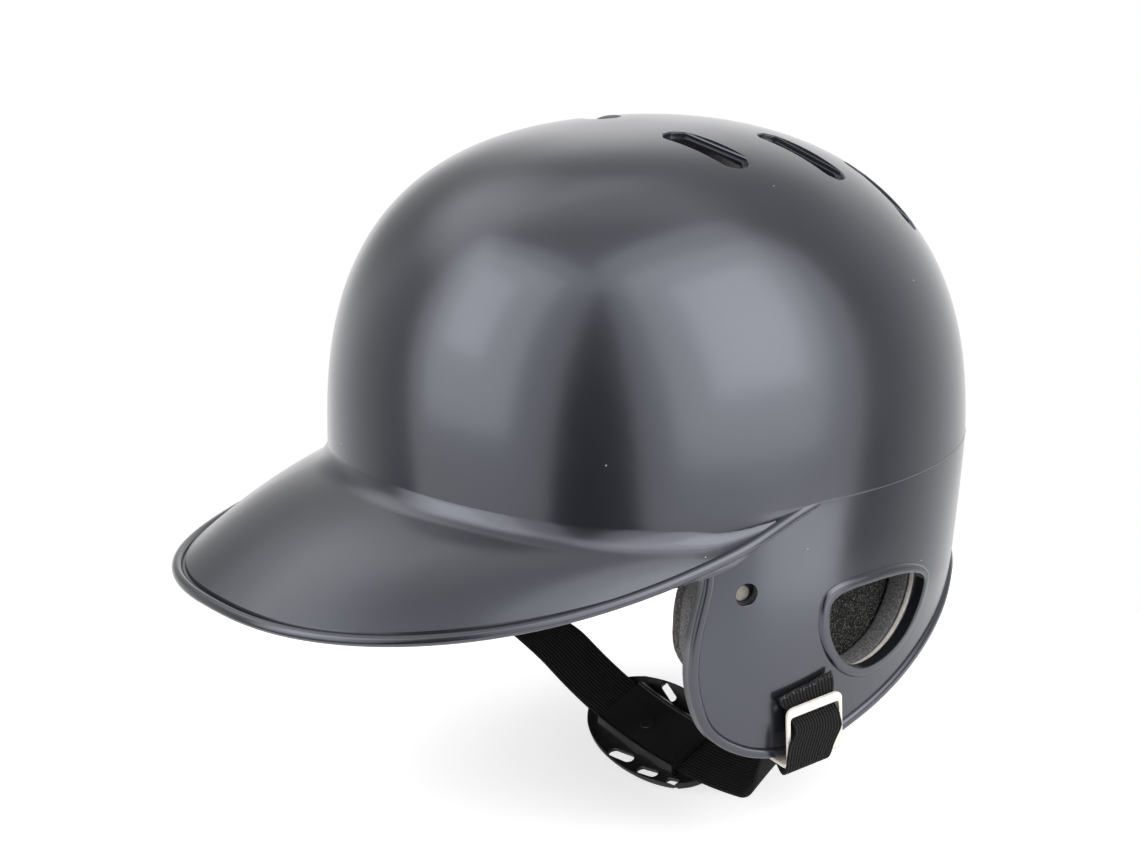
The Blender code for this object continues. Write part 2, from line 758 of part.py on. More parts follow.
def strip(line, width, thick, frame):
    """A flat strip along a line of (out, up) places, with its normal in that plane."""
    base, back, up, out = frame
    rings = []
    for i, p in enumerate(line):
        before, after = line[max(i - 1, 0)], line[min(i + 1, len(line) - 1)]
        run = (Vector(after) - Vector(before)).normalized()
        normal = out * run.y - up * run.x
        middle = base + out * p[0] + up * p[1]
        reach, half = back * width / 2, normal * thick / 2
        rings.append([middle - reach - half, middle + reach - half, middle + reach + half, middle - reach + half])
    return loft(rings)


def arc(centre, radius, start, end, count):
    angles = [start + (end - start) * i / (count - 1) for i in range(count)]
    return [(centre[0] + radius * cos(a), centre[1] + radius * sin(a)) for a in angles]


def clip_lines():
    """The clip's plate: its middle line, and how far out and in it lies."""
    plate = CLIP_STAND_OFF + CLIP_THICK / 2
    leg = -(WALL + EDGE_BEAD_PROUD + CLIP_HOOK_CLEARANCE + CLIP_THICK / 2)
    low = -(CLIP_HOOK_DEPTH + CLIP_THICK / 2)
    bend = CLIP_BEND
    line = [(plate, CLIP_HEIGHT), (plate, CLIP_HEIGHT / 2)]
    line += arc((plate - bend, low + bend), bend, 0, -pi / 2, 5)
    line += arc((leg + bend, low + bend), bend, -pi / 2, -pi, 5)
    line.append((leg, CLIP_HOOK_RISE))
    return line, plate, leg, low


def make_clip():
    line, plate, _, _ = clip_lines()
    return strip(line, CLIP_WIDTH, CLIP_THICK, clip_frame()), plate


def make_clip_window():
    base, back, up, out = clip_frame()
    plate = CLIP_STAND_OFF + CLIP_THICK / 2
    top = CLIP_HEIGHT - CLIP_TOP_BAR
    half, low = WEB_WIDTH / 2 + WEB_GAP * 2, top - CLIP_WINDOW_HEIGHT
    outline = ((-half, low), (half, low), (half, top), (-half, top))
    place = lambda p, c: base + back * p[0] + up * p[1] + out * c
    return prism(outline, lambda p: place(p, plate - CLIP_THICK), lambda p: place(p, plate + CLIP_THICK))


def web_end_line():
    """The webbing's middle line: down behind the top bar, out through the window and round under the hook."""
    _, plate, leg, low = clip_lines()
    behind = CLIP_STAND_OFF - WEB_GAP - WEB_THICK / 2
    front = plate + CLIP_THICK / 2 + WEB_GAP + WEB_THICK / 2
    bar = CLIP_HEIGHT - CLIP_TOP_BAR
    sill = bar - CLIP_WINDOW_HEIGHT
    under = low - CLIP_THICK / 2 - WEB_GAP - WEB_THICK / 2
    turn = CLIP_BEND + CLIP_THICK / 2 + WEB_GAP + WEB_THICK / 2
    line = [(behind + WEB_GAP, CLIP_HEIGHT + WEB_TAIL), (behind, CLIP_HEIGHT + WEB_TAIL / 2), (behind, bar)]
    line += [(plate, (bar + sill) / 2), (front, sill), (front, sill / 2)]
    line += arc((front - turn, under + turn), turn, 0, -pi / 2, 5)
    return line, under, leg


def strap_start():
    """Middle of the webbing at the split under the left flap, and the webbing's tilt there."""
    line, under, leg = web_end_line()
    base, back, up, out = clip_frame()
    middle = base + out * (leg - CLIP_THICK) + up * under
    return middle, atan2(back.z, back.y)


def make_web_end():
    line, under, leg = web_end_line()
    base, back, up, out = clip_frame()
    bm = strip(line + [(leg - CLIP_THICK, under)], WEB_WIDTH, WEB_THICK, (base, back, up, out))
    split = strap_start()[0].x + WEB_SPLIT_GAP
    geometry = bm.verts[:] + bm.edges[:] + bm.faces[:]
    found = bmesh.ops.bisect_plane(
        bm, geom=geometry, plane_co=(split, 0, 0), plane_no=(-1, 0, 0), clear_outer=True)
    rim = [item for item in found["geom_cut"] if isinstance(item, bmesh.types.BMEdge)]
    bmesh.ops.edgeloop_fill(bm, edges=rim)
    return bm


# Free span of the strap, and the cup that slides on it

def strap_place(along, across, off):
    """A place in the strap's arc: along it, across its width and off its upper face."""
    lift = across * sin(STRAP_TILT) + off * cos(STRAP_TILT)
    y = STRAP_LOW_Y + across * cos(STRAP_TILT) - off * sin(STRAP_TILT)
    turn, radius = along / STRAP_RADIUS - asin(STRAP_LOW_X / STRAP_RADIUS), STRAP_RADIUS - lift
    return Vector((STRAP_LOW_X + radius * sin(turn), y, STRAP_LOW_Z + STRAP_RADIUS - radius * cos(turn)))


def strap_station(x):
    """Middle of the strap at x, its slope and its tilt: an arc, then an easy bend up to each clip."""
    start, end_tilt = strap_start()
    side = 1 if x > 0 else -1
    arc_end = STRAP_ARC_LEFT if x > 0 else STRAP_ARC_RIGHT
    inner = side * min(abs(x), arc_end)
    turn = asin((inner - STRAP_LOW_X) / STRAP_RADIUS)
    z = STRAP_LOW_Z + STRAP_RADIUS * (1 - cos(turn))
    slope = sin(turn) / cos(turn)
    span = start.x - arc_end
    s = max(0.0, abs(x) - arc_end) / span
    if s > 0:
        leave = side * slope * span
        rise = start.z - z
        slope = side * (leave * (3 * s * s - 4 * s + 1) + rise * 6 * (s - s * s)) / span
        z += leave * (s ** 3 - 2 * s * s + s) + rise * (3 * s * s - 2 * s ** 3)
    ease = smooth_ramp(s)
    y = STRAP_LOW_Y + (start.y - STRAP_LOW_Y) * ease
    return Vector((x, y, z)), slope, STRAP_TILT + (end_tilt - STRAP_TILT) * ease


def make_strap():
    reach = strap_start()[0].x
    count = 41
    rings = []
    for i in range(count):
        middle, slope, tilt = strap_station(reach * (2 * i / (count - 1) - 1))
        lift = Vector((-slope, 0, 1)).normalized()
        if i in (0, count - 1):
            lift = Vector((0, 0, 1))
        wide = Vector((0, cos(tilt), 0)) + lift * sin(tilt)
        off = Vector((0, -sin(tilt), 0)) + lift * cos(tilt)
        a, b = wide * WEB_WIDTH / 2, off * WEB_THICK / 2
        rings.append([middle - a - b, middle + a - b, middle + a + b, middle - a + b])
    return loft(rings)


def band_sides():
    """Inner and outer face of the band's side walls, from the strap's middle."""
    inner = WEB_WIDTH / 2 + WEB_GAP * 2
    return inner, inner + CUP_BAND_SIDE


def cup_floor(across):
    """Height of the dish's upper face off the strap's middle line."""
    flat = -(WEB_THICK / 2 + WEB_GAP)
    free = max(0.0, abs(across) - WEB_WIDTH / 2) / (CUP_HALF_WIDTH - WEB_WIDTH / 2)
    return flat + CUP_DISH * free ** 2.6


def make_cup_dish():
    bm = bmesh.new()
    columns, rows = 14, 12
    upper, lower = [], []
    for j in range(rows + 1):
        for i in range(columns + 1):
            a, b = 2 * i / columns - 1, 2 * j / rows - 1
            power = 1 / CUP_OUTLINE_POWER
            u = CUP_HALF_LENGTH * a * (1 - abs(b) ** CUP_OUTLINE_POWER / 2) ** power
            v = CUP_HALF_WIDTH * b * (1 - abs(a) ** CUP_OUTLINE_POWER / 2) ** power
            height = cup_floor(v)
            upper.append(bm.verts.new(strap_place(CUP_ALONG + u, v, height)))
            lower.append(bm.verts.new(strap_place(CUP_ALONG + u, v, height - CUP_WALL)))
    skin_grid(bm, upper, lower, columns, rows)
    return bm


def make_cup_band():
    """The band over the strap: side walls on the dish, sloping shoulders and two ribs along the top."""
    inner, outer = band_sides()
    ceiling = WEB_THICK / 2 + WEB_GAP
    top = ceiling + CUP_WALL
    foot = cup_floor(outer) - CUP_WALL / 2
    rib = top + CUP_RIB_PROUD
    rib_in, rib_out = CUP_RIB_AT - CUP_RIB / 2, CUP_RIB_AT + CUP_RIB / 2
    tunnel = ((-outer, foot), (-inner, foot), (-inner, ceiling), (inner, ceiling), (inner, foot), (outer, foot))
    crest = ((outer, ceiling), (rib_out, top), (rib_out, rib), (rib_in, rib), (rib_in, top))
    section = tunnel + crest + tuple((-v, w) for v, w in reversed(crest))
    steps = 8
    places = [CUP_ALONG + CUP_BAND_HALF * (2 * i / steps - 1) for i in range(steps + 1)]
    return loft([[strap_place(u, v, w) for v, w in section] for u in places])


def cup_rim(along):
    """Half width of the cup at a place along it."""
    share = abs(along) / CUP_HALF_LENGTH
    return CUP_HALF_WIDTH * (1 - share ** CUP_OUTLINE_POWER) ** (1 / CUP_OUTLINE_POWER)


def make_cup_slot(along, length, width, inward_turn, side):
    """An oval slot through the middle of a side flange, turned towards the strap."""
    across = (cup_rim(along) + band_sides()[1]) / 2
    turn = -side * inward_turn
    straight, radius = (length - width) / 2, width / 2
    outline = []
    for k in range(12):
        a = 2 * pi * (k + 0.5) / 12
        outline.append((radius * cos(a) + (straight if cos(a) > 0 else -straight), radius * sin(a)))
    turned = [(p * cos(turn) - q * sin(turn), p * sin(turn) + q * cos(turn)) for p, q in outline]
    floor, ceiling = -CUP_DISH, CUP_DISH * 2
    return prism(
        turned,
        lambda p: strap_place(CUP_ALONG + along + p[0], side * across + p[1], floor),
        lambda p: strap_place(CUP_ALONG + along + p[0], side * across + p[1], ceiling),
    )


def make_cup(material):
    cup = add_object("chin_cup", make_cup_dish(), material)
    cut(cup, add_object("cup_band", make_cup_band()), "UNION")
    for number, slot_sizes in enumerate(CUP_SLOTS):
        for side in (-1, 1):
            slot = make_cup_slot(*slot_sizes, side)
            cut(cup, add_object(f"cup_slot_{number}_{'front' if side < 0 else 'rear'}", slot))
    return cup


# Assembly

def hang_on(piece, axis_empty):
    """Puts a finished piece's origin on its joint's axis."""
    for v in piece.data.vertices:
        v.co -= axis_empty.location
    piece.parent = axis_empty


def add_axis(name, place):
    empty = bpy.data.objects.new(name, None)
    empty.location = place
    bpy.context.collection.objects.link(empty)
    bpy.context.view_layer.update()
    return empty


def main():
    for item in list(bpy.data.objects):
        bpy.data.objects.remove(item)
    finishes = make_finishes()
    make_shell(finishes["shell"])
    make_liner(finishes)
    make_ear_pads(finishes)
    start = strap_start()[0]
    slide = add_axis("clip_slide_axis", (0, start.y, start.z))
    for place, side in (("left", 1), ("right", -1)):
        clip, _ = make_clip()
        window = make_clip_window()
        web_end = make_web_end()
        for bm in (clip, window, web_end):
            for v in bm.verts:
                v.co.x *= side
        clip = add_object(f"{place}_clip", clip, finishes["clip"])
        cut(clip, add_object(f"{place}_clip_window", window))
        web_end = add_object(f"{place}_webbing_end", web_end, finishes["webbing"])
        for piece in (clip, web_end):
            hang_on(piece, slide)
        bpy.data.objects[f"{place}_clip_window"].parent = None
    swing = add_axis("strap_swing_axis", (0, start.y, start.z))
    strap = add_object("chin_webbing", make_strap(), finishes["webbing"])
    hang_on(strap, swing)
    middle = add_axis("cup_slide_axis", (STRAP_LOW_X, STRAP_LOW_Y, STRAP_LOW_Z + STRAP_RADIUS))
    cup = make_cup(finishes["cup"])
    hang_on(cup, middle)


main()
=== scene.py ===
# Batting helmet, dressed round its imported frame: gloss black moulding, foam liner, strap and chin cup.
# Metres, +Z up. The wearer faces -Y, the left flap is at +X, and z = 0 is where the dome is widest.
from math import asin, atan2, cos, pi, radians, sin, sqrt, tan

import bmesh
import bpy
from mathutils import Matrix, Vector, noise


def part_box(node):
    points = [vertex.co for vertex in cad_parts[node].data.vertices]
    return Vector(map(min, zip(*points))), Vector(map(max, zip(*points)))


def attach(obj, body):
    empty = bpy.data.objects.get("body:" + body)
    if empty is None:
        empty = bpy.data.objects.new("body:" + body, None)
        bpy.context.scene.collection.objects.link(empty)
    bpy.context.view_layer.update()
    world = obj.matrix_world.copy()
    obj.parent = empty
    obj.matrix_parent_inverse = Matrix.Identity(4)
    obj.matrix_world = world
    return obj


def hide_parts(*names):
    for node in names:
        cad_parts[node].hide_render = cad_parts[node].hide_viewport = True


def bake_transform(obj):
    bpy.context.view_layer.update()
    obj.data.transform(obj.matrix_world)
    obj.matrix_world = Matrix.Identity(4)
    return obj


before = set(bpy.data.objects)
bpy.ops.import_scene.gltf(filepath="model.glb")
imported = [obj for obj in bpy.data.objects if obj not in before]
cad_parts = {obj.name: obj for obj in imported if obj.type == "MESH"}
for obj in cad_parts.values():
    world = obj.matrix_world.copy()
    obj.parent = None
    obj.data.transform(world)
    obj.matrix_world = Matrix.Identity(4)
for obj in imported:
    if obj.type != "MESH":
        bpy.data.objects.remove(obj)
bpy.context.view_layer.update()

# Shell: the dome is a superellipsoid, and the walls below it lean in towards the jaw
HALF_LENGTH = 0.122
HALF_WIDTH = 0.106
CROWN_HEIGHT = 0.117
CROWN_SHIFT = 0.0072
PLAN_POWER = 2.1
CROWN_POWER = 2.53
JAW_LEAN = 0.009
JAW_DEPTH = 0.100
JAW_POWER = 1.2
WALL = 0.0035
DOME_COLUMNS = 168
DOME_ROWS = 88
ON_DOME = 5e-4
FLUSH = 0.97
SHELL_SHARP = radians(28)
SHELL_BLACK = (0.0105, 0.0112, 0.0145)
DUST_SCALE = 95.0
DUST_GREY = (0.34, 0.34, 0.33)

# Parting line of the mould, round the back of the dome at its widest
PARTING_HALF = 0.0003
PARTING_PROUD = 0.00016
PARTING_FADE = (radians(86), radians(5))

# Lower edge, in side view
BROW_FRONT_Z = 0.0005
BROW_TEMPLE_Z = -0.0125
BROW_CORNER_RISE = 0.0020
FLAP_FRONT_Y = -0.0505
FLAP_BOTTOM_Y = -0.012
FLAP_BOTTOM_Z = -0.0950
FLAP_REAR_Y = 0.0755
FLAP_REAR_Z = -0.0660
NAPE_Z = -0.0470
EDGE_BEAD_WIDTH = 0.0042
EDGE_BEAD_PROUD = 0.0014
EDGE_BEAD_POWER = 3.2
EDGE_BEAD_OVERLAP = 0.0004
EDGE_BEAD_STATIONS = 44

# Brim. A pair is the turn where a change starts, towards the temples, and the turn that it takes
BRIM_LENGTH = 0.182
BRIM_BACK_Y = -0.0024
BRIM_SIDE_OUT = 0.0024
BRIM_SIDE_POWER = 0.8
BRIM_FRONT_POWER = 0.9
BRIM_DROP = 0.0305
BRIM_DROP_POWER = 2.3
BRIM_THICK = 0.0030
BRIM_BEAD_RADIUS = 0.0020
BRIM_FILLET = 0.0046
BRIM_CROWN = 0.0036
BRIM_CROWN_SHARE = 0.06
BRIM_COVE_RUN = 1.7
BRIM_GROOVE = 0.0034
BRIM_GROOVE_SHARE = 0.08
BRIM_GROOVE_WALL = 0.12
BRIM_GROOVE_DEPTH = 0.36
BRIM_ROOT_DROP = (1.05, 0.25)
BRIM_SWELL = (0.90, 0.30)
BRIM_THIN = (1.15, 0.22)
BRIM_THIN_SHARE = 0.7
BRIM_BEAD_FADE = (1.38, 0.20)
BRIM_BEAD_END = radians(89.7)
BRIM_LEAST_OUT = 0.7 * BRIM_BEAD_RADIUS
BRIM_LIMIT_STEP = radians(0.5)
BRIM_STATIONS = 97
CREASE_FRONT_Z = 0.0053
CREASE_TEMPLE_Z = -0.0028
CREASE_TEMPLE_TURN = radians(68)
CREASE_BREAK = 0.50
CREASE_SINK = 0.0001
CREASE_FADE = (radians(45), radians(14))

# Ear hole and the raised frame round it
EAR_Y = 0.0240
EAR_Z = -0.0440
EAR_FRONT = 0.0213
EAR_REAR = 0.0317
EAR_UP = 0.0088
EAR_DOWN = 0.0244
EAR_TOP_FRONT_POWER = 3.6
EAR_TOP_REAR_POWER = 2.0
EAR_LOWER_POWER = 1.85
EAR_FRAME_WIDTH = 0.0040
EAR_FRAME_PROUD = 0.0014
EAR_FRAME_OVERLAP = 0.0006
EAR_FRAME_CORNER = 0.0006
EAR_STATIONS = 144

# Guard hole in each flap
GUARD_Y = -0.0318
GUARD_Z = -0.0297
GUARD_RADIUS = 0.0040
GUARD_BREAK = 0.0005

# Crown vents on the left, mirrored to the right: centre x, centre y, turn towards the back
VENTS = (
    (0.0350, -0.0010, radians(14)),
    (0.0385, 0.0395, radians(26)),
    (0.0420, 0.0740, radians(38)),
)
VENT_LENGTH = 0.034
VENT_WIDTH = 0.0100
VENT_CHAMFER = 0.0036
VENT_CORNER = 0.0012
VENT_LEDGE = 0.0011
VENT_LEDGE_DEPTH = 0.0021
VENT_FLARE = 0.0005

# Liner
LINER_GAP = 0.0007
LAYER_GAP = 0.0004
IMPACT_THICK = 0.0120
COMFORT_THICK = 0.0080
EAR_BACKING_THICK = 0.0016
EAR_IMPACT_THICK = 0.0080
EAR_COMFORT_THICK = 0.0085
EAR_PAD_FRONT = 0.0704
EAR_PAD_REAR = 0.0392
EAR_PAD_UP = 0.0355
EAR_PAD_DOWN = 0.0340
EAR_PAD_POWER = 2.9
EAR_BACKING_INSET = 0.0040
EAR_COMFORT_INSET = 0.0005
EAR_PAD_HOLE_CLEARANCE = 0.0010
FRONT_PAD_ARC = radians(46)
FRONT_PAD_Z = (0.010, 0.064)
SIDE_PAD_ARC = (radians(60), radians(118))
SIDE_PAD_Z = (0.000, 0.070)
REAR_PAD_ARC = radians(42)
REAR_PAD_Z = (-0.028, 0.050)
CROWN_PAD_HALF_WIDTH = 0.0140
CROWN_PAD_Y = (-0.058, 0.052)
PAD_CUTS = 22
PAD_CORNER = 0.16
PAD_RIM_SHARE = 0.55
EAR_PAD_RIM_SHARE = 0.5
IMPACT_EDGE = 0.0015
IMPACT_FILL = 0.8
COMFORT_EDGE = 0.0028
COMFORT_FILL = 0.6
EAR_BACKING_EDGE = 0.0004
EAR_IMPACT_EDGE = 0.0014
FOAM_NAP = 0.00014
FOAM_NAP_SCALE = 900.0
FOAM_SHARP = radians(60)

# Foams: key, name, pore colour, wall colour, cells per metre, share of walls, bump, painted light at the
# front edge
FOAMS = (
    ("impact_foam", "grey_impact_foam", (0.15, 0.14, 0.132), (0.32, 0.31, 0.30), 1500.0, 0.6, 0.3, 0.0),
    ("comfort_foam", "charcoal_comfort_foam", (0.007,) * 3, (0.30, 0.29, 0.28), 1100.0, 0.10, 0.8, 0.0),
    ("ear_impact_foam", "grey_ear_foam", (0.07, 0.068, 0.068), (0.34, 0.33, 0.335), 1500.0, 0.3, 0.25, 0.45),
    ("ear_comfort_foam", "charcoal_ear_foam", (0.006,) * 3, (0.27, 0.26, 0.25), 1100.0, 0.08, 0.8, 0.7),
)

# Clip that hooks under the flap's edge
CLIP_Y = -0.0020
CLIP_WIDTH = 0.0245
CLIP_HEIGHT = 0.0226
CLIP_THICK = 0.0014
CLIP_TOP_BAR = 0.0035
CLIP_WINDOW_HEIGHT = 0.0116
CLIP_STAND_OFF = 0.0044
CLIP_HOOK_CLEARANCE = 0.0020
CLIP_HOOK_DEPTH = 0.0004
CLIP_HOOK_RISE = 0.0100
CLIP_BEND = 0.0027
CLIP_CORNER = 0.0028
CLIP_WINDOW_CORNER = 0.0016
CLIP_EDGE = 0.0004

# Webbing and the arc that it hangs in
WEB_WIDTH = 0.0200
WEB_THICK = 0.0016
WEB_GAP = 0.0004
WEB_TAIL = 0.0065
WEB_TAIL_LEAN = 0.0016
WEB_SPLIT_GAP = 0.0004
WEB_RIBS = 17
WEB_RIB_POINTS = 5
WEB_RIB_DEPTH = 0.00036
WEB_RIB_POWER = 0.8
WEB_SELVEDGE_POWER = 26
WEB_SELVEDGE_SHARE = 0.35
WEB_STEP = 0.0008
WEB_FAN = 0.25
WEB_FAN_RATE = 2.5
WEB_TAIL_FAN = 0.8
WEB_TAIL_SHIFT = 0.25
WEB_MOUTH = 0.40
WEB_LEAN = 0.0042
WEB_CUT = 0.46
WEB_BLACK = (0.0015, 0.0015, 0.0018)
WEB_PALE = (0.31, 0.31, 0.32)
FRAY_COUNT = 46
FRAY_LENGTH = 0.0009
FRAY_RADIUS = 0.00011
FRAY_WANDER = 0.9
FRAY_LEAST = 0.6
FRAY_CHANGE = 0.8
STRAP_RADIUS = 0.250
STRAP_LOW_X = 0.028
STRAP_LOW_Y = 0.0030
STRAP_LOW_Z = -0.1208
STRAP_TILT = radians(32)
STRAP_ARC_LEFT = 0.062
STRAP_ARC_RIGHT = 0.059
STRAP_BLEND_START = 0.088
STRAP_BLEND_END = 0.070

# Chin cup, measured along the strap, across it and off it
CUP_ALONG = 0.001
CUP_HALF_LENGTH = 0.0385
CUP_HALF_WIDTH = 0.0205
CUP_OUTLINE_POWER = 2.15
CUP_WALL = 0.0018
CUP_EDGE_SHARE = 0.48
CUP_DISH = 0.0026
CUP_DISH_POWER = 2.6
CUP_BAND_HALF = 0.0238
CUP_BAND_SIDE = 0.0014
CUP_BAND_STEPS = 40
CUP_RIB = 0.0010
CUP_RIB_AT = 0.0104
CUP_RIB_PROUD = 0.0006
CUP_CORNER = 0.0004
CUP_RIM = 0.0005
CUP_RIM_BAND = (0.90, 0.08)
CUP_SHARP = radians(40)

# Mould mark on the cup's band: place along the strap and across it, radius and height
CUP_MARK = (-0.0035, 0.0, 0.0033, 0.00015)

# Slots through each of the cup's flanges: place along the strap, length, width and turn towards the strap.
# The near flange is -1 and the far one 1.
CUP_SLOTS = (
    (-0.0077, 0.0115, 0.0042, radians(14)),
    (0.0083, 0.0095, 0.0034, radians(14)),
    (0.0215, 0.0062, 0.0026, radians(14)),
)
CUP_SLOT_SHIFT = {-1: 0.0034, 1: -0.0055}
CUP_SLOT_WIDTH_SHARE = {-1: 1.0, 1: 0.65}
CUP_SLOT_BREAK = 0.0003

# Camera: the way to it, its right, its distance, its lens in pixels and the point that it is aimed at
IMAGE_WIDTH, IMAGE_HEIGHT = 1140, 855
CAMERA_WAY = Vector((0.7777, -0.5650, 0.2756))
CAMERA_RIGHT = Vector((0.5878, 0.8090, 0.0))
CAMERA_DISTANCE = 1.2
LENS_PIXELS = 3218.4
AIM_X, AIM_Y = 650.0, 432.5
SENSOR = 36.0

# Floor and room. Each span is a range of cosines of the angle to a direction, over which brightness changes.
# Each rise is a range of sines of the height, and each place a turn, or a turn and a rise, from the camera.
FLOOR_GAP = 0.003
FLOOR_RADIUS = 0.28
FLOOR_FADE = (0.45, 0.97)
FLOOR_GLOW = 0.60
FLOOR_MIRRORED = 0.5
ROOM_DARK = 0.05
ROOM_LIGHT = 0.35
ROOM_BACKDROP = 1.2
ROOM_BACKDROP_SPAN = (-0.28, 1.0)
ROOM_GAP = 0.5
ROOM_GAP_AT = (-148, 20)
ROOM_GAP_SPAN = (0.90, 0.98)
ROOM_RIGHT = 0.55
ROOM_LEFT = 1.70
ROOM_LEFT_AT = (-115, 45)
ROOM_LEFT_SPAN = (0.80, 0.96)
ROOM_WALL_SPAN = (-0.30, 0.30)
ROOM_WALL_RISE = (0.46, 0.66)
ROOM_TOP = 1.1
ROOM_TOP_RISE = (0.72, 0.92)
ROOM_TOP_FRONT = 0.7
ROOM_TOP_SPAN = (-0.05, 0.12)
ROOM_TOP_LEFT = 1.5
ROOM_TOP_LEFT_AT = -150
ROOM_TOP_LEFT_SPAN = (0.28, 0.44)

# Softboxes: name, turns from the camera's direction and rises, in degrees, and brightness
SOFTBOX_DISTANCE = 1.1
SOFTBOX_WATTS = 4
SOFTBOXES = (
    ("left_softbox", (-88, -13), (-24, 65), 0.95),
    ("left_softbox_middle", (-80, -30), (-4, 57), 1.0),
    ("left_softbox_heart", (-72, -48), (16, 48), 0.85),
    ("right_softbox", (8, 86), (-45, 74), 0.95),
    ("right_softbox_middle", (18, 77), (-10, 61), 1.0),
    ("right_softbox_heart", (34, 70), (6, 50), 1.1),
    ("right_softbox_low", (52, 78), (-34, -19), 1.2),
)

# Small steps, the angle that counts as a sharp edge, and the way up
TINY = 1e-5
MERGE = 1e-7
SHARP = radians(35)
UP = Vector((0, 0, 1))


# Dome surface

def smooth_ramp(value):
    value = max(0.0, min(1.0, value))
    return value * value * (3 - 2 * value)


def eased(value, start, length):
    """0 before start, 1 a length after it, and smooth between them."""
    return smooth_ramp((value - start) / length)


def turns_of(count, first=0.5):
    """Angles evenly round a circle, the first of them this share of a step from zero."""
    return [2 * pi * (k + first) / count for k in range(count)]


def oval_reach(along, up, power):
    """How far out a place lies in a unit oval: 1 on its rim."""
    return (abs(along) ** power + abs(up) ** power) ** (1 / power)


def wall_scale(z):
    """Share of the plan that the wall keeps at height z."""
    if z >= 0:
        return (1 - min(z / CROWN_HEIGHT, 1.0) ** CROWN_POWER) ** (1 / CROWN_POWER)
    return 1 - JAW_LEAN / HALF_WIDTH * (-z / JAW_DEPTH) ** JAW_POWER


def crown_drift(z):
    """How far the dome leans forwards at height z."""
    return CROWN_SHIFT * max(0.0, min(z / CROWN_HEIGHT, 1.0)) ** 2


def dome_at(turn, z):
    """Outer point at a turn from the front towards the left, at height z."""
    across, along = sin(turn), cos(turn)
    shape = abs(across / HALF_WIDTH) ** PLAN_POWER + abs(along / HALF_LENGTH) ** PLAN_POWER
    reach = wall_scale(z) * shape ** (-1 / PLAN_POWER)
    return Vector((reach * across, -reach * along - crown_drift(z), z))


def side_at(y, z):
    """Outer point on the left, seen from the side at y and z."""
    scale = wall_scale(z)
    share = min(abs((y + crown_drift(z)) / (HALF_LENGTH * scale)), 1.0)
    return Vector((HALF_WIDTH * scale * (1 - share ** PLAN_POWER) ** (1 / PLAN_POWER), y, z))


def plan_share(x, y, z):
    """1 on an oval as wide and long as the dome at its widest, less inside it."""
    return oval_reach(x / HALF_WIDTH, (y + crown_drift(z)) / HALF_LENGTH, PLAN_POWER)


def level(p):
    """1 on the outer surface, less inside it."""
    share = plan_share(*p)
    if p.z < 0:
        return share / wall_scale(p.z)
    return oval_reach(share, p.z / CROWN_HEIGHT, CROWN_POWER)


def crown_at(x, y):
    """Outer point on the crown above x and y."""
    low, high = 0.0, CROWN_HEIGHT
    while high - low > TINY / 10:
        middle = (low + high) / 2
        if plan_share(x, y, middle) < wall_scale(middle):
            low = middle
        else:
            high = middle
    return Vector((x, y, low))


def outward(p):
    steps = (Vector((TINY, 0, 0)), Vector((0, TINY, 0)), Vector((0, 0, TINY)))
    return Vector([level(p + step) - level(p - step) for step in steps]).normalized()


def sunk(p, depth):
    """The point this deep below an outer point."""
    return p - outward(p) * depth


def sunk_inboard(p, depth):
    """The point this deep below an outer point, reached without moving towards the back."""
    out = outward(p)
    way = Vector((out.x, max(out.y, 0.0), out.z))
    return p - way * (depth / way.dot(out))


# Curves and outlines

def curve_through(points, steps):
    """Points along a Catmull-Rom curve through these, steps to each span."""
    path = [Vector(p) for p in points]
    path = [2 * path[0] - path[1]] + path + [2 * path[-1] - path[-2]]
    found = []
    for i in range(1, len(path) - 2):
        a, b, c, d = path[i - 1:i + 3]
        for k in range(steps):
            s = k / steps
            bend = (2 * a - 5 * b + 4 * c - d) * s * s + (3 * b - a - 3 * c + d) * s ** 3
            found.append(0.5 * (2 * b + (c - a) * s + bend))
    return found + [path[-2]]


def rounded(outline, radius, steps=4):
    """A closed outline with each corner drawn to a short curve."""
    found = []
    for i, corner in enumerate(outline):
        here = Vector(corner)
        back = Vector(outline[i - 1]) - here
        ahead = Vector(outline[(i + 1) % len(outline)]) - here
        first = here + back.normalized() * min(radius, back.length * 0.45)
        last = here + ahead.normalized() * min(radius, ahead.length * 0.45)
        for k in range(steps + 1):
            s = k / steps
            found.append(first * (1 - s) ** 2 + here * 2 * s * (1 - s) + last * s * s)
    return found


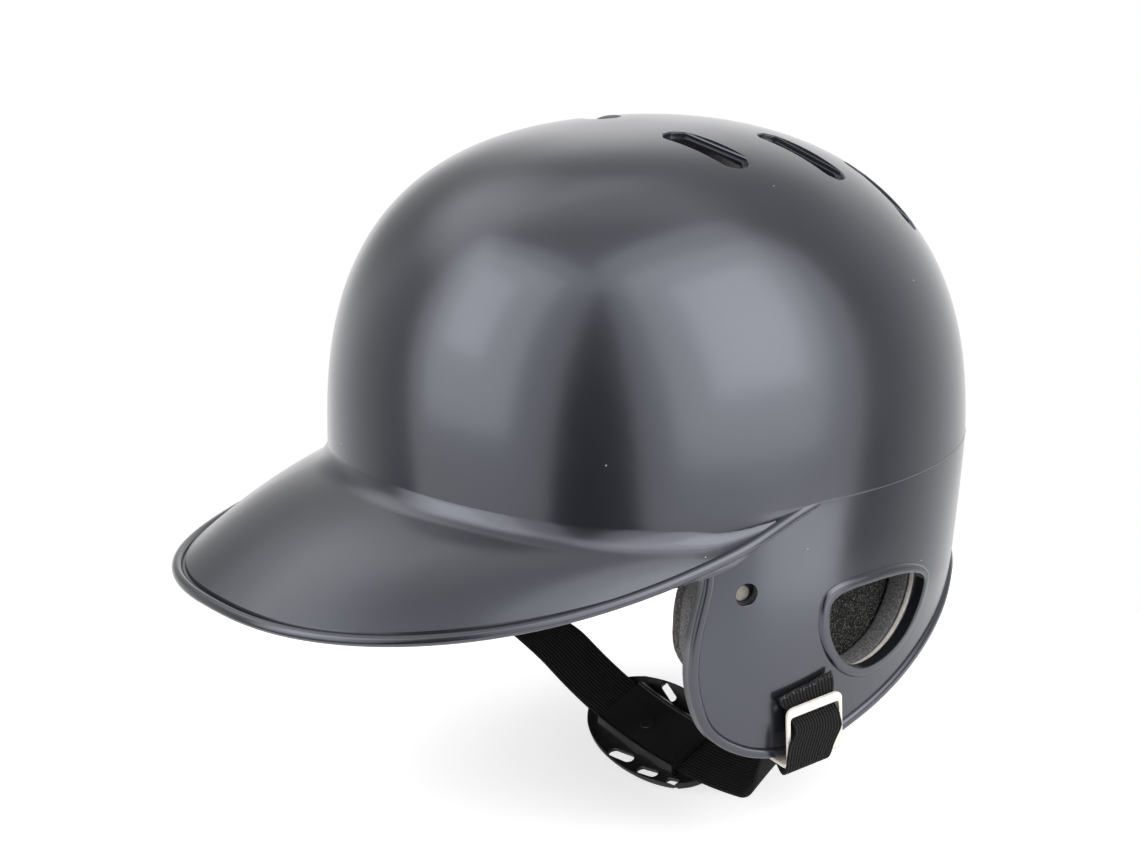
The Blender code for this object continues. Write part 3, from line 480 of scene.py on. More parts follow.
def lower_edge(steps):
    """The shell's lower edge in side view, front to back, as (y, z)."""
    drop = FLAP_BOTTOM_Z - BROW_TEMPLE_Z
    rise = FLAP_REAR_Z - FLAP_BOTTOM_Z
    run = FLAP_REAR_Y - FLAP_BOTTOM_Y
    front = FLAP_BOTTOM_Y - FLAP_FRONT_Y
    beyond = HALF_LENGTH - FLAP_REAR_Y
    return curve_through((
        (-HALF_LENGTH * 1.1, BROW_FRONT_Z),
        (FLAP_FRONT_Y * 2.0, BROW_FRONT_Z + (BROW_TEMPLE_Z - BROW_FRONT_Z) * 0.35),
        (FLAP_FRONT_Y - front * 0.30, BROW_TEMPLE_Z + BROW_CORNER_RISE),
        (FLAP_FRONT_Y + front * 0.02, BROW_TEMPLE_Z + drop * 0.03),
        (FLAP_FRONT_Y + front * 0.08, BROW_TEMPLE_Z + drop * 0.13),
        (FLAP_FRONT_Y, BROW_TEMPLE_Z + drop * 0.40),
        (FLAP_FRONT_Y + front * 0.02, BROW_TEMPLE_Z + drop * 0.62),
        (FLAP_FRONT_Y + front * 0.19, BROW_TEMPLE_Z + drop * 0.83),
        (FLAP_FRONT_Y + front * 0.55, BROW_TEMPLE_Z + drop * 0.955),
        (FLAP_BOTTOM_Y, FLAP_BOTTOM_Z),
        (FLAP_BOTTOM_Y + run * 0.19, FLAP_BOTTOM_Z + rise * 0.05),
        (FLAP_BOTTOM_Y + run * 0.33, FLAP_BOTTOM_Z + rise * 0.17),
        (FLAP_BOTTOM_Y + run * 0.62, FLAP_BOTTOM_Z + rise * 0.49),
        (FLAP_REAR_Y, FLAP_REAR_Z),
        (FLAP_REAR_Y + beyond * 0.55, FLAP_REAR_Z + (NAPE_Z - FLAP_REAR_Z) * 0.68),
        (HALF_LENGTH * 1.1, NAPE_Z),
    ), steps)


def edge_height(y, edge):
    """Height of the lower edge at y, behind the flap's lowest point."""
    for (y0, z0), (y1, z1) in zip(edge, edge[1:]):
        if y0 >= FLAP_BOTTOM_Y and y0 <= y <= y1:
            return z0 + (z1 - z0) * (y - y0) / (y1 - y0)
    return edge[-1][1]


def oval_place(angle, power):
    """A place on a unit oval, squarer as its power grows."""
    along = abs(cos(angle)) ** (2 / power) * (1 if cos(angle) > 0 else -1)
    up = abs(sin(angle)) ** (2 / power) * (1 if sin(angle) > 0 else -1)
    return along, up


def ear_outline(grow, count):
    """The ear hole's outline in side view, grown all round: a flat top and a deep round lower edge."""
    found = []
    for a in turns_of(count):
        reach = EAR_REAR if cos(a) > 0 else EAR_FRONT
        height = EAR_UP if sin(a) > 0 else EAR_DOWN
        power = EAR_LOWER_POWER
        if sin(a) > 0:
            power = EAR_TOP_REAR_POWER if cos(a) > 0 else EAR_TOP_FRONT_POWER
        along, up = oval_place(a, power)
        found.append((EAR_Y + (reach + grow) * along, EAR_Z + (height + grow) * up))
    return found


def ear_pad_place(along, up, shrink):
    """A place in the ear pad's outline, from -1 to 1 each way, in side view."""
    reach = (EAR_PAD_REAR if along > 0 else EAR_PAD_FRONT) - shrink
    height = (EAR_PAD_UP if up > 0 else EAR_PAD_DOWN) - shrink
    return EAR_Y + reach * along, EAR_Z + height * up


def ear_pad_outline(shrink, count):
    """The ear pad's outline in side view, round the ear hole's centre."""
    return [ear_pad_place(*oval_place(a, EAR_PAD_POWER), shrink) for a in turns_of(count)]


def squared_oval(a, b, power):
    """The place in a unit oval for a place in the square from -1 to 1."""
    return a * (1 - abs(b) ** power / 2) ** (1 / power), b * (1 - abs(a) ** power / 2) ** (1 / power)


# Mesh helpers

def loft(rings, looped=False, cloth=None):
    """A skin over closed rings of points: a grid laid on them, its seams merged and its ends capped.
    With cloth, the distances along and round it, it gets a UV map in metres."""
    rows = [list(ring) + [ring[0]] for ring in rings]
    if looped:
        rows.append(rows[0])
    across = len(rows[0])
    bm = bmesh.new()
    bmesh.ops.create_grid(bm, x_segments=across - 1, y_segments=len(rows) - 1, size=1.0)
    bm.verts.ensure_lookup_table()
    places = [p for row in rows for p in row]
    for vert, place in zip(bm.verts, places):
        vert.co = place
    if cloth:
        along, round_it = cloth
        layer = bm.loops.layers.uv.new("cloth")
        for face in bm.faces:
            for corner in face.loops:
                row, column = divmod(corner.vert.index, across)
                corner[layer].uv = (along[row], round_it[column])
    bmesh.ops.remove_doubles(bm, verts=bm.verts, dist=MERGE)
    open_edges = [e for e in bm.edges if e.is_boundary]
    if open_edges:
        bmesh.ops.holes_fill(bm, edges=open_edges, sides=0)
    return bm


def ring_round(centre, across, lift, radius, turns):
    return [centre + (across * cos(a) + lift * sin(a)) * radius for a in turns]


def side_prism(outline, near, far):
    """A block with an outline in side view, from one x to another."""
    return loft([[Vector((x, *p)) for p in outline] for x in (near, far)])


def run_of(path, i):
    """The way that a line of points runs at one of them."""
    return (Vector(path[min(i + 1, len(path) - 1)]) - Vector(path[max(i - 1, 0)])).normalized()


def lengths_of(points):
    """Distance along a line of points at each of them."""
    found = [0.0]
    for a, b in zip(points, points[1:]):
        found.append(found[-1] + (Vector(b) - Vector(a)).length)
    return found


def all_of(bm):
    return bm.verts[:] + bm.edges[:] + bm.faces[:]


def joined(*parts):
    """Several bodies that don't touch as one."""
    whole = bmesh.new()
    for part in parts:
        bmesh.ops.recalc_face_normals(part, faces=part.faces)
        mesh = bpy.data.meshes.new("part")
        part.to_mesh(mesh)
        part.free()
        whole.from_mesh(mesh)
        bpy.data.meshes.remove(mesh)
    return whole


def turned_over(bm):
    """A body mirrored to the other side."""
    other = bm.copy()
    bmesh.ops.scale(other, vec=(-1, 1, 1), verts=other.verts)
    bmesh.ops.recalc_face_normals(other, faces=other.faces)
    return other


def both_sides(bm):
    return joined(turned_over(bm), bm)


def scratch(bm, outwards=True):
    if outwards:
        bmesh.ops.recalc_face_normals(bm, faces=bm.faces)
    mesh = bpy.data.meshes.new("scratch")
    bm.to_mesh(mesh)
    bm.free()
    made = bpy.data.objects.new("scratch", mesh)
    bpy.context.scene.collection.objects.link(made)
    return made


def combined(base, steps, wall=None):
    """A body, given its wall if it is an open skin, with others joined to it or cut out of it in turn."""
    main = scratch(base, outwards=wall is None)
    if wall:
        skin = main.modifiers.new("wall", "SOLIDIFY")
        skin.thickness = wall
        skin.offset = -1
        skin.use_even_offset = True
    helpers = [main]
    for operation, tool in steps:
        helpers.append(scratch(tool))
        step = main.modifiers.new(operation, "BOOLEAN")
        step.operation = operation
        step.solver = "EXACT"
        step.object = helpers[-1]
    graph = bpy.context.evaluated_depsgraph_get()
    mesh = bpy.data.meshes.new_from_object(main.evaluated_get(graph))
    made = bmesh.new()
    made.from_mesh(mesh)
    bpy.data.meshes.remove(mesh)
    for helper in helpers:
        old = helper.data
        bpy.data.objects.remove(helper)
        bpy.data.meshes.remove(old)
    return made


def finished(name, bm, finish, sharp=SHARP):
    """A piece in its place, with its finish, smooth up to its sharp edges."""
    bmesh.ops.recalc_face_normals(bm, faces=bm.faces)
    mesh = bpy.data.meshes.new(name)
    bm.to_mesh(mesh)
    bm.free()
    mesh.shade_smooth()
    mesh.set_sharp_from_angle(angle=sharp)
    mesh.materials.append(finish)
    piece = bpy.data.objects.new(name, mesh)
    bpy.context.scene.collection.objects.link(piece)
    return piece


def stand_for(piece, node, body, slot):
    """A piece that rides on a body in place of a CAD node."""
    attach(piece, body)
    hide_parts(node)


# Finishes

def plain_finish(name, colour, roughness, **sockets):
    finish = bpy.data.materials.new(name)
    finish.use_nodes = True
    shader = finish.node_tree.nodes["Principled BSDF"]
    shader.inputs["Base Color"].default_value = (*colour, 1.0)
    shader.inputs["Roughness"].default_value = roughness
    for socket, value in sockets.items():
        shader.inputs[socket.replace("_", " ")].default_value = value
    return finish, finish.node_tree, shader


def add_node(tree, kind, values=(), **settings):
    """A node with its settings, and its inputs set to values or joined to other nodes' outputs."""
    made = tree.nodes.new(kind)
    for setting, value in settings.items():
        setattr(made, setting, value)
    for socket, value in dict(values).items():
        if isinstance(value, bpy.types.NodeSocket):
            tree.links.new(value, made.inputs[socket])
        else:
            made.inputs[socket].default_value = value
    return made


def object_place(tree):
    return add_node(tree, "ShaderNodeTexCoord").outputs["Object"]


def cloth_place(tree):
    return add_node(tree, "ShaderNodeUVMap", uv_map="cloth").outputs["UV"]


def axis_of(tree, place, axis):
    return add_node(tree, "ShaderNodeSeparateXYZ", {0: place}).outputs[axis]


def noise_of(tree, place, scale, detail=2.0, rough=0.5):
    values = {"Vector": place, "Scale": scale, "Detail": detail, "Roughness": rough}
    return add_node(tree, "ShaderNodeTexNoise", values).outputs["Fac"]


def cells_of(tree, place, scale, output="Distance"):
    return add_node(tree, "ShaderNodeTexVoronoi", {"Vector": place, "Scale": scale}).outputs[output]


def chance_of(tree, place, scale, channel):
    """A number for each cell, from one channel of its colour."""
    colour = cells_of(tree, place, scale, "Color")
    return add_node(tree, "ShaderNodeSeparateColor", {0: colour}).outputs[channel]


def spread(tree, value, low, high, to_low, to_high):
    """A value's range drawn to another, held at its ends."""
    values = {0: value, 1: low, 2: high, 3: to_low, 4: to_high}
    return add_node(tree, "ShaderNodeMapRange", values).outputs[0]


def math_of(tree, operation, *values):
    return add_node(tree, "ShaderNodeMath", enumerate(values), operation=operation).outputs[0]


def sum_of(tree, first, second):
    return math_of(tree, "ADD", first, second)


def product_of(tree, first, second):
    return math_of(tree, "MULTIPLY", first, second)


def larger_of(tree, first, second):
    return math_of(tree, "MAXIMUM", first, second)


def vector_of(tree, operation, *values, output="Vector"):
    return add_node(tree, "ShaderNodeVectorMath", enumerate(values), operation=operation).outputs[output]


def between(tree, share, first, second):
    """A colour between two, by share."""
    values = {0: share, 6: (*first, 1.0), 7: (*second, 1.0)}
    return add_node(tree, "ShaderNodeMix", values, data_type="RGBA").outputs[2]


def join(tree, shader, **sockets):
    """What changes over a surface, joined to its shader."""
    for socket, value in sockets.items():
        tree.links.new(value, shader.inputs[socket.replace("_", " ")])


def join_bump(tree, shader, height, strength, distance):
    values = {"Height": height, "Strength": strength, "Distance": distance}
    join(tree, shader, Normal=add_node(tree, "ShaderNodeBump", values).outputs["Normal"])


def shell_finish():
    """Gloss black moulding with a slight ripple, soft patches in the gloss and a few dust specks."""
    sheen = {"Specular_IOR_Level": 1.0, "Specular_Tint": (0.83, 0.86, 1.0, 1.0)}
    coat = {"Coat_Weight": 0.3, "Coat_Roughness": 0.14}
    finish, tree, shader = plain_finish("gloss_black_moulding", SHELL_BLACK, 0.22, **sheen, **coat)
    place = object_place(tree)
    speck = spread(tree, cells_of(tree, place, DUST_SCALE), 0.020, 0.032, 1.0, 0.0)
    chosen = spread(tree, chance_of(tree, place, DUST_SCALE, 0), 0.70, 0.72, 0.0, 1.0)
    speck = product_of(tree, speck, chosen)
    gloss = spread(tree, noise_of(tree, place, 22.0, 4.0), 0.35, 0.65, 0.21, 0.26)
    gloss = sum_of(tree, gloss, product_of(tree, speck, 0.4))
    join(tree, shader, Base_Color=between(tree, speck, SHELL_BLACK, DUST_GREY), Roughness=gloss)
    ripple = sum_of(tree, noise_of(tree, place, 160.0), product_of(tree, speck, 1.5))
    join_bump(tree, shader, ripple, 0.05, 0.0005)
    return finish


def foam_finish(name, dark, pale, scale, lift, depth, painted_front_light):
    """Open foam: dark pores, paler cell walls, a few painted bright glints, and painted light on an ear
    pad's front edge.
    """
    finish, tree, shader = plain_finish(name, dark, 0.95, Specular_IOR_Level=0.2)
    place = object_place(tree)
    pores = cells_of(tree, place, scale)
    grain = noise_of(tree, place, scale * 0.9, 3.0, 0.65)
    # Painted highlights: a few bright glints mixed into the foam's colour.
    painted_glint = spread(tree, chance_of(tree, place, scale * 2.2, 1), 0.76, 0.96, 0.0, 0.45)
    share = sum_of(tree, spread(tree, grain, 0.35, 0.70, 0.0, lift), painted_glint)
    # Painted light: an ear pad is made paler near its front edge, where light falls, than on its shaded
    # inside.
    if painted_front_light:
        front = EAR_Y - EAR_PAD_FRONT
        edge = spread(tree, axis_of(tree, place, "Y"), front + 0.022, front + 0.010, 0.0, painted_front_light)
        share = sum_of(tree, share, product_of(tree, edge, spread(tree, grain, 0.3, 0.6, 0.3, 1.0)))
    join(tree, shader, Base_Color=between(tree, share, dark, pale))
    join_bump(tree, shader, sum_of(tree, pores, grain), depth, 0.0012)
    return finish


def backing_finish():
    """Cream backing sheet, a little mottled, with painted shade behind the guard hole: a dimmed spot in a
    dark ring.
    """
    finish, tree, shader = plain_finish("cream_backing_sheet", (0.62, 0.57, 0.50), 0.8)
    place = object_place(tree)
    mottle = noise_of(tree, place, 420.0, 4.0, 0.7)
    share = spread(tree, mottle, 0.35, 0.7, 0.0, 1.0)
    sheet = between(tree, share, (0.46, 0.43, 0.39), (0.66, 0.63, 0.58))
    # Painted shade: behind the guard hole the sheet is dimmed, darkest in an off-centre ring that shows
    # through the hole as a dark crescent.
    side_view = vector_of(tree, "MULTIPLY", place, (0, 1, 1))
    centre = (0, GUARD_Y + GUARD_RADIUS * 0.3, GUARD_Z - GUARD_RADIUS * 0.2)
    away = vector_of(tree, "DISTANCE", side_view, centre, output="Value")
    painted_hole_shade = spread(tree, away, GUARD_RADIUS * 0.60, GUARD_RADIUS * 0.75, 0.70, 0.03)
    beyond = spread(tree, away, GUARD_RADIUS * 1.8, GUARD_RADIUS * 2.0, 0.0, 1.0)
    join(tree, shader, Base_Color=vector_of(tree, "MULTIPLY", sheet, larger_of(tree, painted_hole_shade, beyond)))
    join_bump(tree, shader, mottle, 0.3, 0.0006)
    return finish


def webbing_finish():
    """Black ribbed elastic: fine cross threads, ribs with painted highlights on their crests, and fibres at
    the cut end.
    """
    finish, tree, shader = plain_finish("black_ribbed_webbing", WEB_BLACK, 0.75, Specular_IOR_Level=0.15)
    place = cloth_place(tree)
    threads = {"Vector": place, "Scale": 420.0, "Distortion": 1.2, "Detail": 1.0}
    bands = {"wave_type": "BANDS", "bands_direction": "X"}
    wave = add_node(tree, "ShaderNodeTexWave", threads, **bands).outputs["Fac"]
    fuzz = noise_of(tree, object_place(tree), 2200.0, 3.0, 0.7)
    fray = spread(tree, axis_of(tree, place, "X"), 0.0006, 0.0022, 1.0, 0.0)
    fibre = product_of(tree, fray, spread(tree, fuzz, 0.55, 0.68, 0.0, 1.0))
    share = sum_of(tree, product_of(tree, wave, 0.016), fibre)
    share = sum_of(tree, share, spread(tree, fuzz, 0.5, 0.75, 0.0, 0.028))
    # Painted light: each rib's crest is made paler than its grooves, as where light grazes the ribs.
    phase = sum_of(tree, product_of(tree, axis_of(tree, place, "Y"), 1 / WEB_WIDTH), 0.5)
    rib = math_of(tree, "COSINE", product_of(tree, phase, 2 * pi * WEB_RIBS))
    share = sum_of(tree, share, spread(tree, rib, 0.3, -0.9, 0.0, 0.06))
    join(tree, shader, Base_Color=between(tree, share, WEB_BLACK, WEB_PALE))
    join_bump(tree, shader, sum_of(tree, wave, fuzz), 0.55, 0.0004)
    return finish


def cup_finish():
    """Black moulded plastic with a fine grain."""
    finish, tree, shader = plain_finish("black_moulded_cup", (0.009, 0.009, 0.0095), 0.42)
    place = object_place(tree)
    join(tree, shader, Roughness=spread(tree, noise_of(tree, place, 60.0, 3.0), 0.3, 0.7, 0.36, 0.48))
    join_bump(tree, shader, noise_of(tree, place, 1400.0, 3.0, 0.6), 0.12, 0.0003)
    return finish


def clip_finish():
    """Ivory coated metal, a little uneven and duller where it is handled."""
    finish, tree, shader = plain_finish("ivory_coated_metal", (0.84, 0.79, 0.71), 0.32)
    mottle = noise_of(tree, object_place(tree), 180.0, 4.0, 0.6)
    share = spread(tree, mottle, 0.4, 0.75, 0.0, 1.0)
    ivory = between(tree, share, (0.86, 0.81, 0.73), (0.76, 0.70, 0.61))
    join(tree, shader, Base_Color=ivory, Roughness=spread(tree, mottle, 0.3, 0.7, 0.26, 0.40))
    join_bump(tree, shader, mottle, 0.08, 0.0003)
    return finish


# Shell

def make_dome():
    """The dome's outer skin: a sphere drawn to its surface, open below, with the mould's parting line."""
    bm = bmesh.new()
    bmesh.ops.create_uvsphere(bm, u_segments=DOME_COLUMNS, v_segments=DOME_ROWS, radius=1.0)
    pole = [v for v in bm.verts if v.co.z < -1 + TINY]
    bmesh.ops.delete(bm, geom=pole, context="VERTS")
    bottom = FLAP_BOTTOM_Z - EDGE_BEAD_WIDTH
    steepest = pi / 2 * (1 - 2 / DOME_ROWS)
    for v in bm.verts:
        turn = atan2(v.co.x, -v.co.y)
        tilt = asin(max(-1.0, min(1.0, v.co.z)))
        z = bottom * max(0.0, -tilt) / steepest
        if tilt > TINY:
            z = CROWN_HEIGHT * sin(tilt) ** (2 / CROWN_POWER)
        v.co = dome_at(turn, z)
    for height in (PARTING_HALF, -PARTING_HALF):
        bmesh.ops.bisect_plane(bm, geom=all_of(bm), dist=MERGE, plane_co=(0, 0, height), plane_no=(0, 0, 1))
    for v in bm.verts:
        if abs(v.co.z) < PARTING_HALF / 2:
            turn = abs(atan2(v.co.x, -v.co.y))
            v.co += outward(v.co) * PARTING_PROUD * eased(turn, *PARTING_FADE)
    return bm


def brim_edge(turn):
    """The brim's edge, from the front centre (0) to the temples (a quarter turn)."""
    out = BRIM_SIDE_OUT - (BRIM_SIDE_OUT + BRIM_BEAD_RADIUS) * eased(abs(turn), *BRIM_BEAD_FADE)
    x = (HALF_WIDTH + out) * abs(sin(turn)) ** BRIM_SIDE_POWER
    y = BRIM_BACK_Y - BRIM_LENGTH * max(cos(turn), 0.0) ** BRIM_FRONT_POWER
    z = -BRIM_DROP * (1 - (1 - cos(turn)) ** BRIM_DROP_POWER)
    return Vector((x if turn > 0 else -x, y, z))


def brim_crease(turn):
    """Where the brim's cove leaves the wall: high at the brow, low at the temples."""
    swing = cos(pi * min(abs(turn) / CREASE_TEMPLE_TURN, 1.0))
    return dome_at(turn, (CREASE_FRONT_Z * (1 + swing) + CREASE_TEMPLE_Z * (1 - swing)) / 2)


def brim_section(station):
    """Round the brim: a cove with a crisp upper crease, the crowned top, the edge and the under face."""
    edge = brim_edge(station)
    turn = atan2(edge.x, -edge.y)
    start = brim_crease(turn)
    stand_out = edge.xy.length - dome_at(turn, edge.z).xy.length
    fillet = min(BRIM_FILLET, (edge - start).length * 0.45, stand_out * 0.8)
    drop = eased(abs(turn), *BRIM_ROOT_DROP)
    root_z = (start.z - fillet) * (1 - drop) + (edge.z + BRIM_THICK / 2) * drop
    root = dome_at(turn, root_z)
    start = sunk(dome_at(turn, root_z + fillet), CREASE_SINK)
    span = edge - root
    crown = min(BRIM_CROWN, span.length * BRIM_CROWN_SHARE)

    def on_top(along):
        return root + span.normalized() * along + UP * crown * sin(pi * along / span.length)

    foot = min(fillet * BRIM_COVE_RUN, span.length * 0.8)
    blend = on_top(foot)
    bend = on_top(fillet * CREASE_BREAK * (1 - eased(abs(turn), *CREASE_FADE)))
    groove = min(BRIM_GROOVE, span.length * BRIM_GROOVE_SHARE)
    end = span.length - groove
    under_thick = BRIM_THICK + BRIM_BEAD_RADIUS * eased(abs(turn), *BRIM_SWELL)
    under_thick *= 1 - BRIM_THIN_SHARE * eased(abs(turn), *BRIM_THIN)
    top = [sunk(start, WALL / 2) + UP * fillet * 0.3]
    for k in range(8):
        s = k / 8
        top.append(start * (1 - s) ** 2 + bend * 2 * s * (1 - s) + blend * s * s)
    for k in range(13):
        top.append(on_top(foot + (end - foot) * k / 12))
    top.append(on_top(end + groove * BRIM_GROOVE_WALL) - UP * groove * BRIM_GROOVE_DEPTH)
    top.append(edge + UP * BRIM_THICK * 0.1)
    under = [edge + UP * (BRIM_THICK / 2 - under_thick)]
    for s in (0.9, 0.75, 0.6, 0.45, 0.3, 0.15):
        under.append(on_top(fillet + (span.length - fillet) * s) - UP * under_thick)
    under.append(sunk(root, WALL / 2) - UP * under_thick)
    return top + under


def brim_limit():
    """The last station where the brim's edge still stands out of the wall."""
    station = pi / 2
    stand_out = 0.0
    while stand_out < BRIM_LEAST_OUT:
        station -= BRIM_LIMIT_STEP
        edge = brim_edge(station)
        wall = dome_at(atan2(edge.x, -edge.y), edge.z)
        stand_out = edge.xy.length - wall.xy.length
    return station


def make_brim():
    limit = brim_limit()
    return loft([brim_section(limit * (2 * i / (BRIM_STATIONS - 1) - 1)) for i in range(BRIM_STATIONS)])


def make_brim_bead():
    count = BRIM_STATIONS + 20
    path = [brim_edge(BRIM_BEAD_END * sin(pi * (i / (count - 1) - 0.5))) for i in range(count)]
    rings = []
    for i, p in enumerate(path):
        run = run_of(path, i)
        across = run.cross(UP).normalized()
        rings.append(ring_round(p, across, across.cross(run), BRIM_BEAD_RADIUS, turns_of(16)))
    return loft(rings)


def edge_path():
    """The lower edge on the shell's outer face, from the left temple round the back to the right one."""
    edge = lower_edge(8)
    start = next(i for i, p in enumerate(edge) if p.x > FLAP_FRONT_Y and p.y < BROW_TEMPLE_Z)
    left = [side_at(*p) for p in edge[start:] if p.x < EAR_Y]
    turn = atan2(left[-1].x, -left[-1].y)
    for i in range(1, EDGE_BEAD_STATIONS + 1):
        step = turn + (pi - turn) * i / EDGE_BEAD_STATIONS
        z = left[-1].z
        for _ in range(6):
            z = edge_height(dome_at(step, z).y, edge)
        left.append(dome_at(step, z))
    return left + [Vector((-p.x, p.y, p.z)) for p in left[-2::-1]]


def make_edge_bead():
    """The thick rolled edge round the flaps and the nape."""
    path = edge_path()
    rings = []
    for i, p in enumerate(path):
        out = outward(p)
        inner = run_of(path, i).cross(out).normalized()
        centre = p - out * WALL / 2 - inner * (EDGE_BEAD_WIDTH / 2 - EDGE_BEAD_OVERLAP)
        ring = []
        for a in turns_of(20):
            along, up = oval_place(a, EDGE_BEAD_POWER)
            proud = out * along * (WALL / 2 + EDGE_BEAD_PROUD)
            ring.append(centre + proud + inner * up * EDGE_BEAD_WIDTH / 2)
        rings.append(ring)
    return loft(rings)


def make_edge_cutter():
    edge = lower_edge(10)
    floor = FLAP_BOTTOM_Z * 2
    outline = [tuple(p) for p in edge] + [(edge[-1].x, floor), (edge[0].x, floor)]
    reach = HALF_WIDTH * 1.5
    return side_prism(outline, -reach, reach)


def make_ear_frame():
    """The raised lip round the ear hole."""
    outline = (
        (-EAR_FRAME_OVERLAP, -WALL / 2),
        (-EAR_FRAME_OVERLAP, EAR_FRAME_PROUD * 0.9),
        (EAR_FRAME_WIDTH * 0.2, EAR_FRAME_PROUD),
        (EAR_FRAME_WIDTH * 0.7, EAR_FRAME_PROUD),
        (EAR_FRAME_WIDTH, 0.0),
        (EAR_FRAME_WIDTH, -WALL / 2),
    )
    rows = []
    for grow, height in rounded(outline, EAR_FRAME_CORNER, 3):
        rows.append([sunk(side_at(*p), -height) for p in ear_outline(grow, EAR_STATIONS)])
    return loft([list(ring) for ring in zip(*rows)], looped=True)


def make_ear_hole():
    return side_prism(ear_outline(0.0, EAR_STATIONS), HALF_WIDTH - WALL * 10, HALF_WIDTH * 1.3)


def make_guard_hole():
    """The bore for a face guard's screw, with its broken edge."""
    centre = side_at(GUARD_Y, GUARD_Z)
    axis = outward(centre)
    across = axis.cross(UP).normalized()
    lift = axis.cross(across)
    profile = (
        (-WALL * 3, GUARD_RADIUS),
        (-GUARD_BREAK, GUARD_RADIUS),
        (-GUARD_BREAK * 0.3, GUARD_RADIUS + GUARD_BREAK * 0.3),
        (GUARD_BREAK * 0.3, GUARD_RADIUS + GUARD_BREAK),
        (WALL * 1.5, GUARD_RADIUS + GUARD_BREAK),
    )
    turns = turns_of(48, 0.0)
    return loft([ring_round(centre + axis * depth, across, lift, size, turns) for depth, size in profile])


def make_vent(x, y, turn):
    """A vent's cutter: flared at the surface, with a ledge part way down."""
    centre = crown_at(x, y)
    axis = outward(centre)
    along = Vector((cos(turn), sin(turn), 0))
    along = (along - axis * along.dot(axis)).normalized()
    across = axis.cross(along)

    def ring(grow, height):
        a, b, c = VENT_LENGTH / 2 + grow, VENT_WIDTH / 2 + grow, VENT_CHAMFER
        upper = ((a, b - c), (a - c, b), (c - a, b), (-a, b - c))
        corners = upper + tuple((-p, -q) for p, q in upper)
        found = []
        for p in rounded(corners, VENT_CORNER, 3):
            flat = centre + along * p[0] + across * p[1]
            found.append(sunk(crown_at(flat.x, flat.y), -height))
        return found

    return loft([
        ring(0.0, -WALL * 2.2),
        ring(0.0, -VENT_LEDGE_DEPTH),
        ring(VENT_LEDGE, -VENT_LEDGE_DEPTH),
        ring(VENT_LEDGE, -VENT_FLARE),
        ring(VENT_LEDGE + VENT_FLARE * 0.4, -VENT_FLARE * 0.3),
        ring(VENT_LEDGE + VENT_FLARE * 1.2, VENT_FLARE * 0.2),
        ring(VENT_LEDGE + VENT_FLARE * 1.2, WALL),
    ])


def smooth_over_dome(mesh):
    """Gives faces that lie on the dome its own normals, so that cuts leave no marks in the gloss."""
    on_dome = [abs(level(v.co) - 1) < ON_DOME for v in mesh.vertices]
    true_normals = {}
    normals = [tuple(n.vector) for n in mesh.corner_normals]
    for face in mesh.polygons:
        if not all(on_dome[k] for k in face.vertices):
            continue
        for corner, k in zip(face.loop_indices, face.vertices):
            if k not in true_normals:
                true_normals[k] = outward(mesh.vertices[k].co)
            if face.normal.dot(true_normals[k]) > FLUSH:
                normals[corner] = tuple(true_normals[k])
    mesh.normals_split_custom_set(normals)


def make_shell(finish):
    holes = [make_ear_hole(), make_guard_hole()] + [make_vent(*vent) for vent in VENTS]
    shell = combined(make_dome(), (
        ("DIFFERENCE", make_edge_cutter()),
        ("UNION", make_edge_bead()),
        ("UNION", make_brim()),
        ("UNION", make_brim_bead()),
        ("UNION", both_sides(make_ear_frame())),
        ("DIFFERENCE", both_sides(joined(*holes))),
    ), wall=WALL)
    bmesh.ops.remove_doubles(shell, verts=shell.verts, dist=TINY / 5)
    piece = finished("moulded_shell", shell, finish, SHELL_SHARP)
    smooth_over_dome(piece.data)
    stand_for(piece, "shell", "helmet", "shell")


# Foam

def soft_block(place, half, edge):
    """A block with soft edges: a finely cut cube drawn to a round-edged box of these half sizes, then set
    in its place from -1 to 1 each way."""
    bm = bmesh.new()
    bmesh.ops.create_cube(bm, size=2.0)
    bmesh.ops.subdivide_edges(bm, edges=bm.edges, cuts=PAD_CUTS, use_grid_fill=True)
    core = [max(h - edge, 0.0) for h in half]
    for v in bm.verts:
        p = Vector([sin(c * pi / 2) * h for c, h in zip(v.co, half)])
        q = Vector([max(-k, min(k, c)) for c, k in zip(p, core)])
        p = q + (p - q).normalized() * edge
        v.co = place(*(c / h for c, h in zip(p, half)))
    return bm


def with_nap(bm):
    """The slightly uneven face of cut foam."""
    bmesh.ops.recalc_face_normals(bm, faces=bm.faces)
    bm.normal_update()
    moves = [v.normal * noise.noise(v.co * FOAM_NAP_SCALE) * FOAM_NAP for v in bm.verts]
    for v, move in zip(bm.verts, moves):
        v.co += move
    return bm


def crowned(reach, rim_share):
    """Share of its thickness that a pad has at a reach from its middle, down to rim_share at its rim."""
    return rim_share + (1 - rim_share) * sqrt(1 - min(1.0, reach) ** 4)


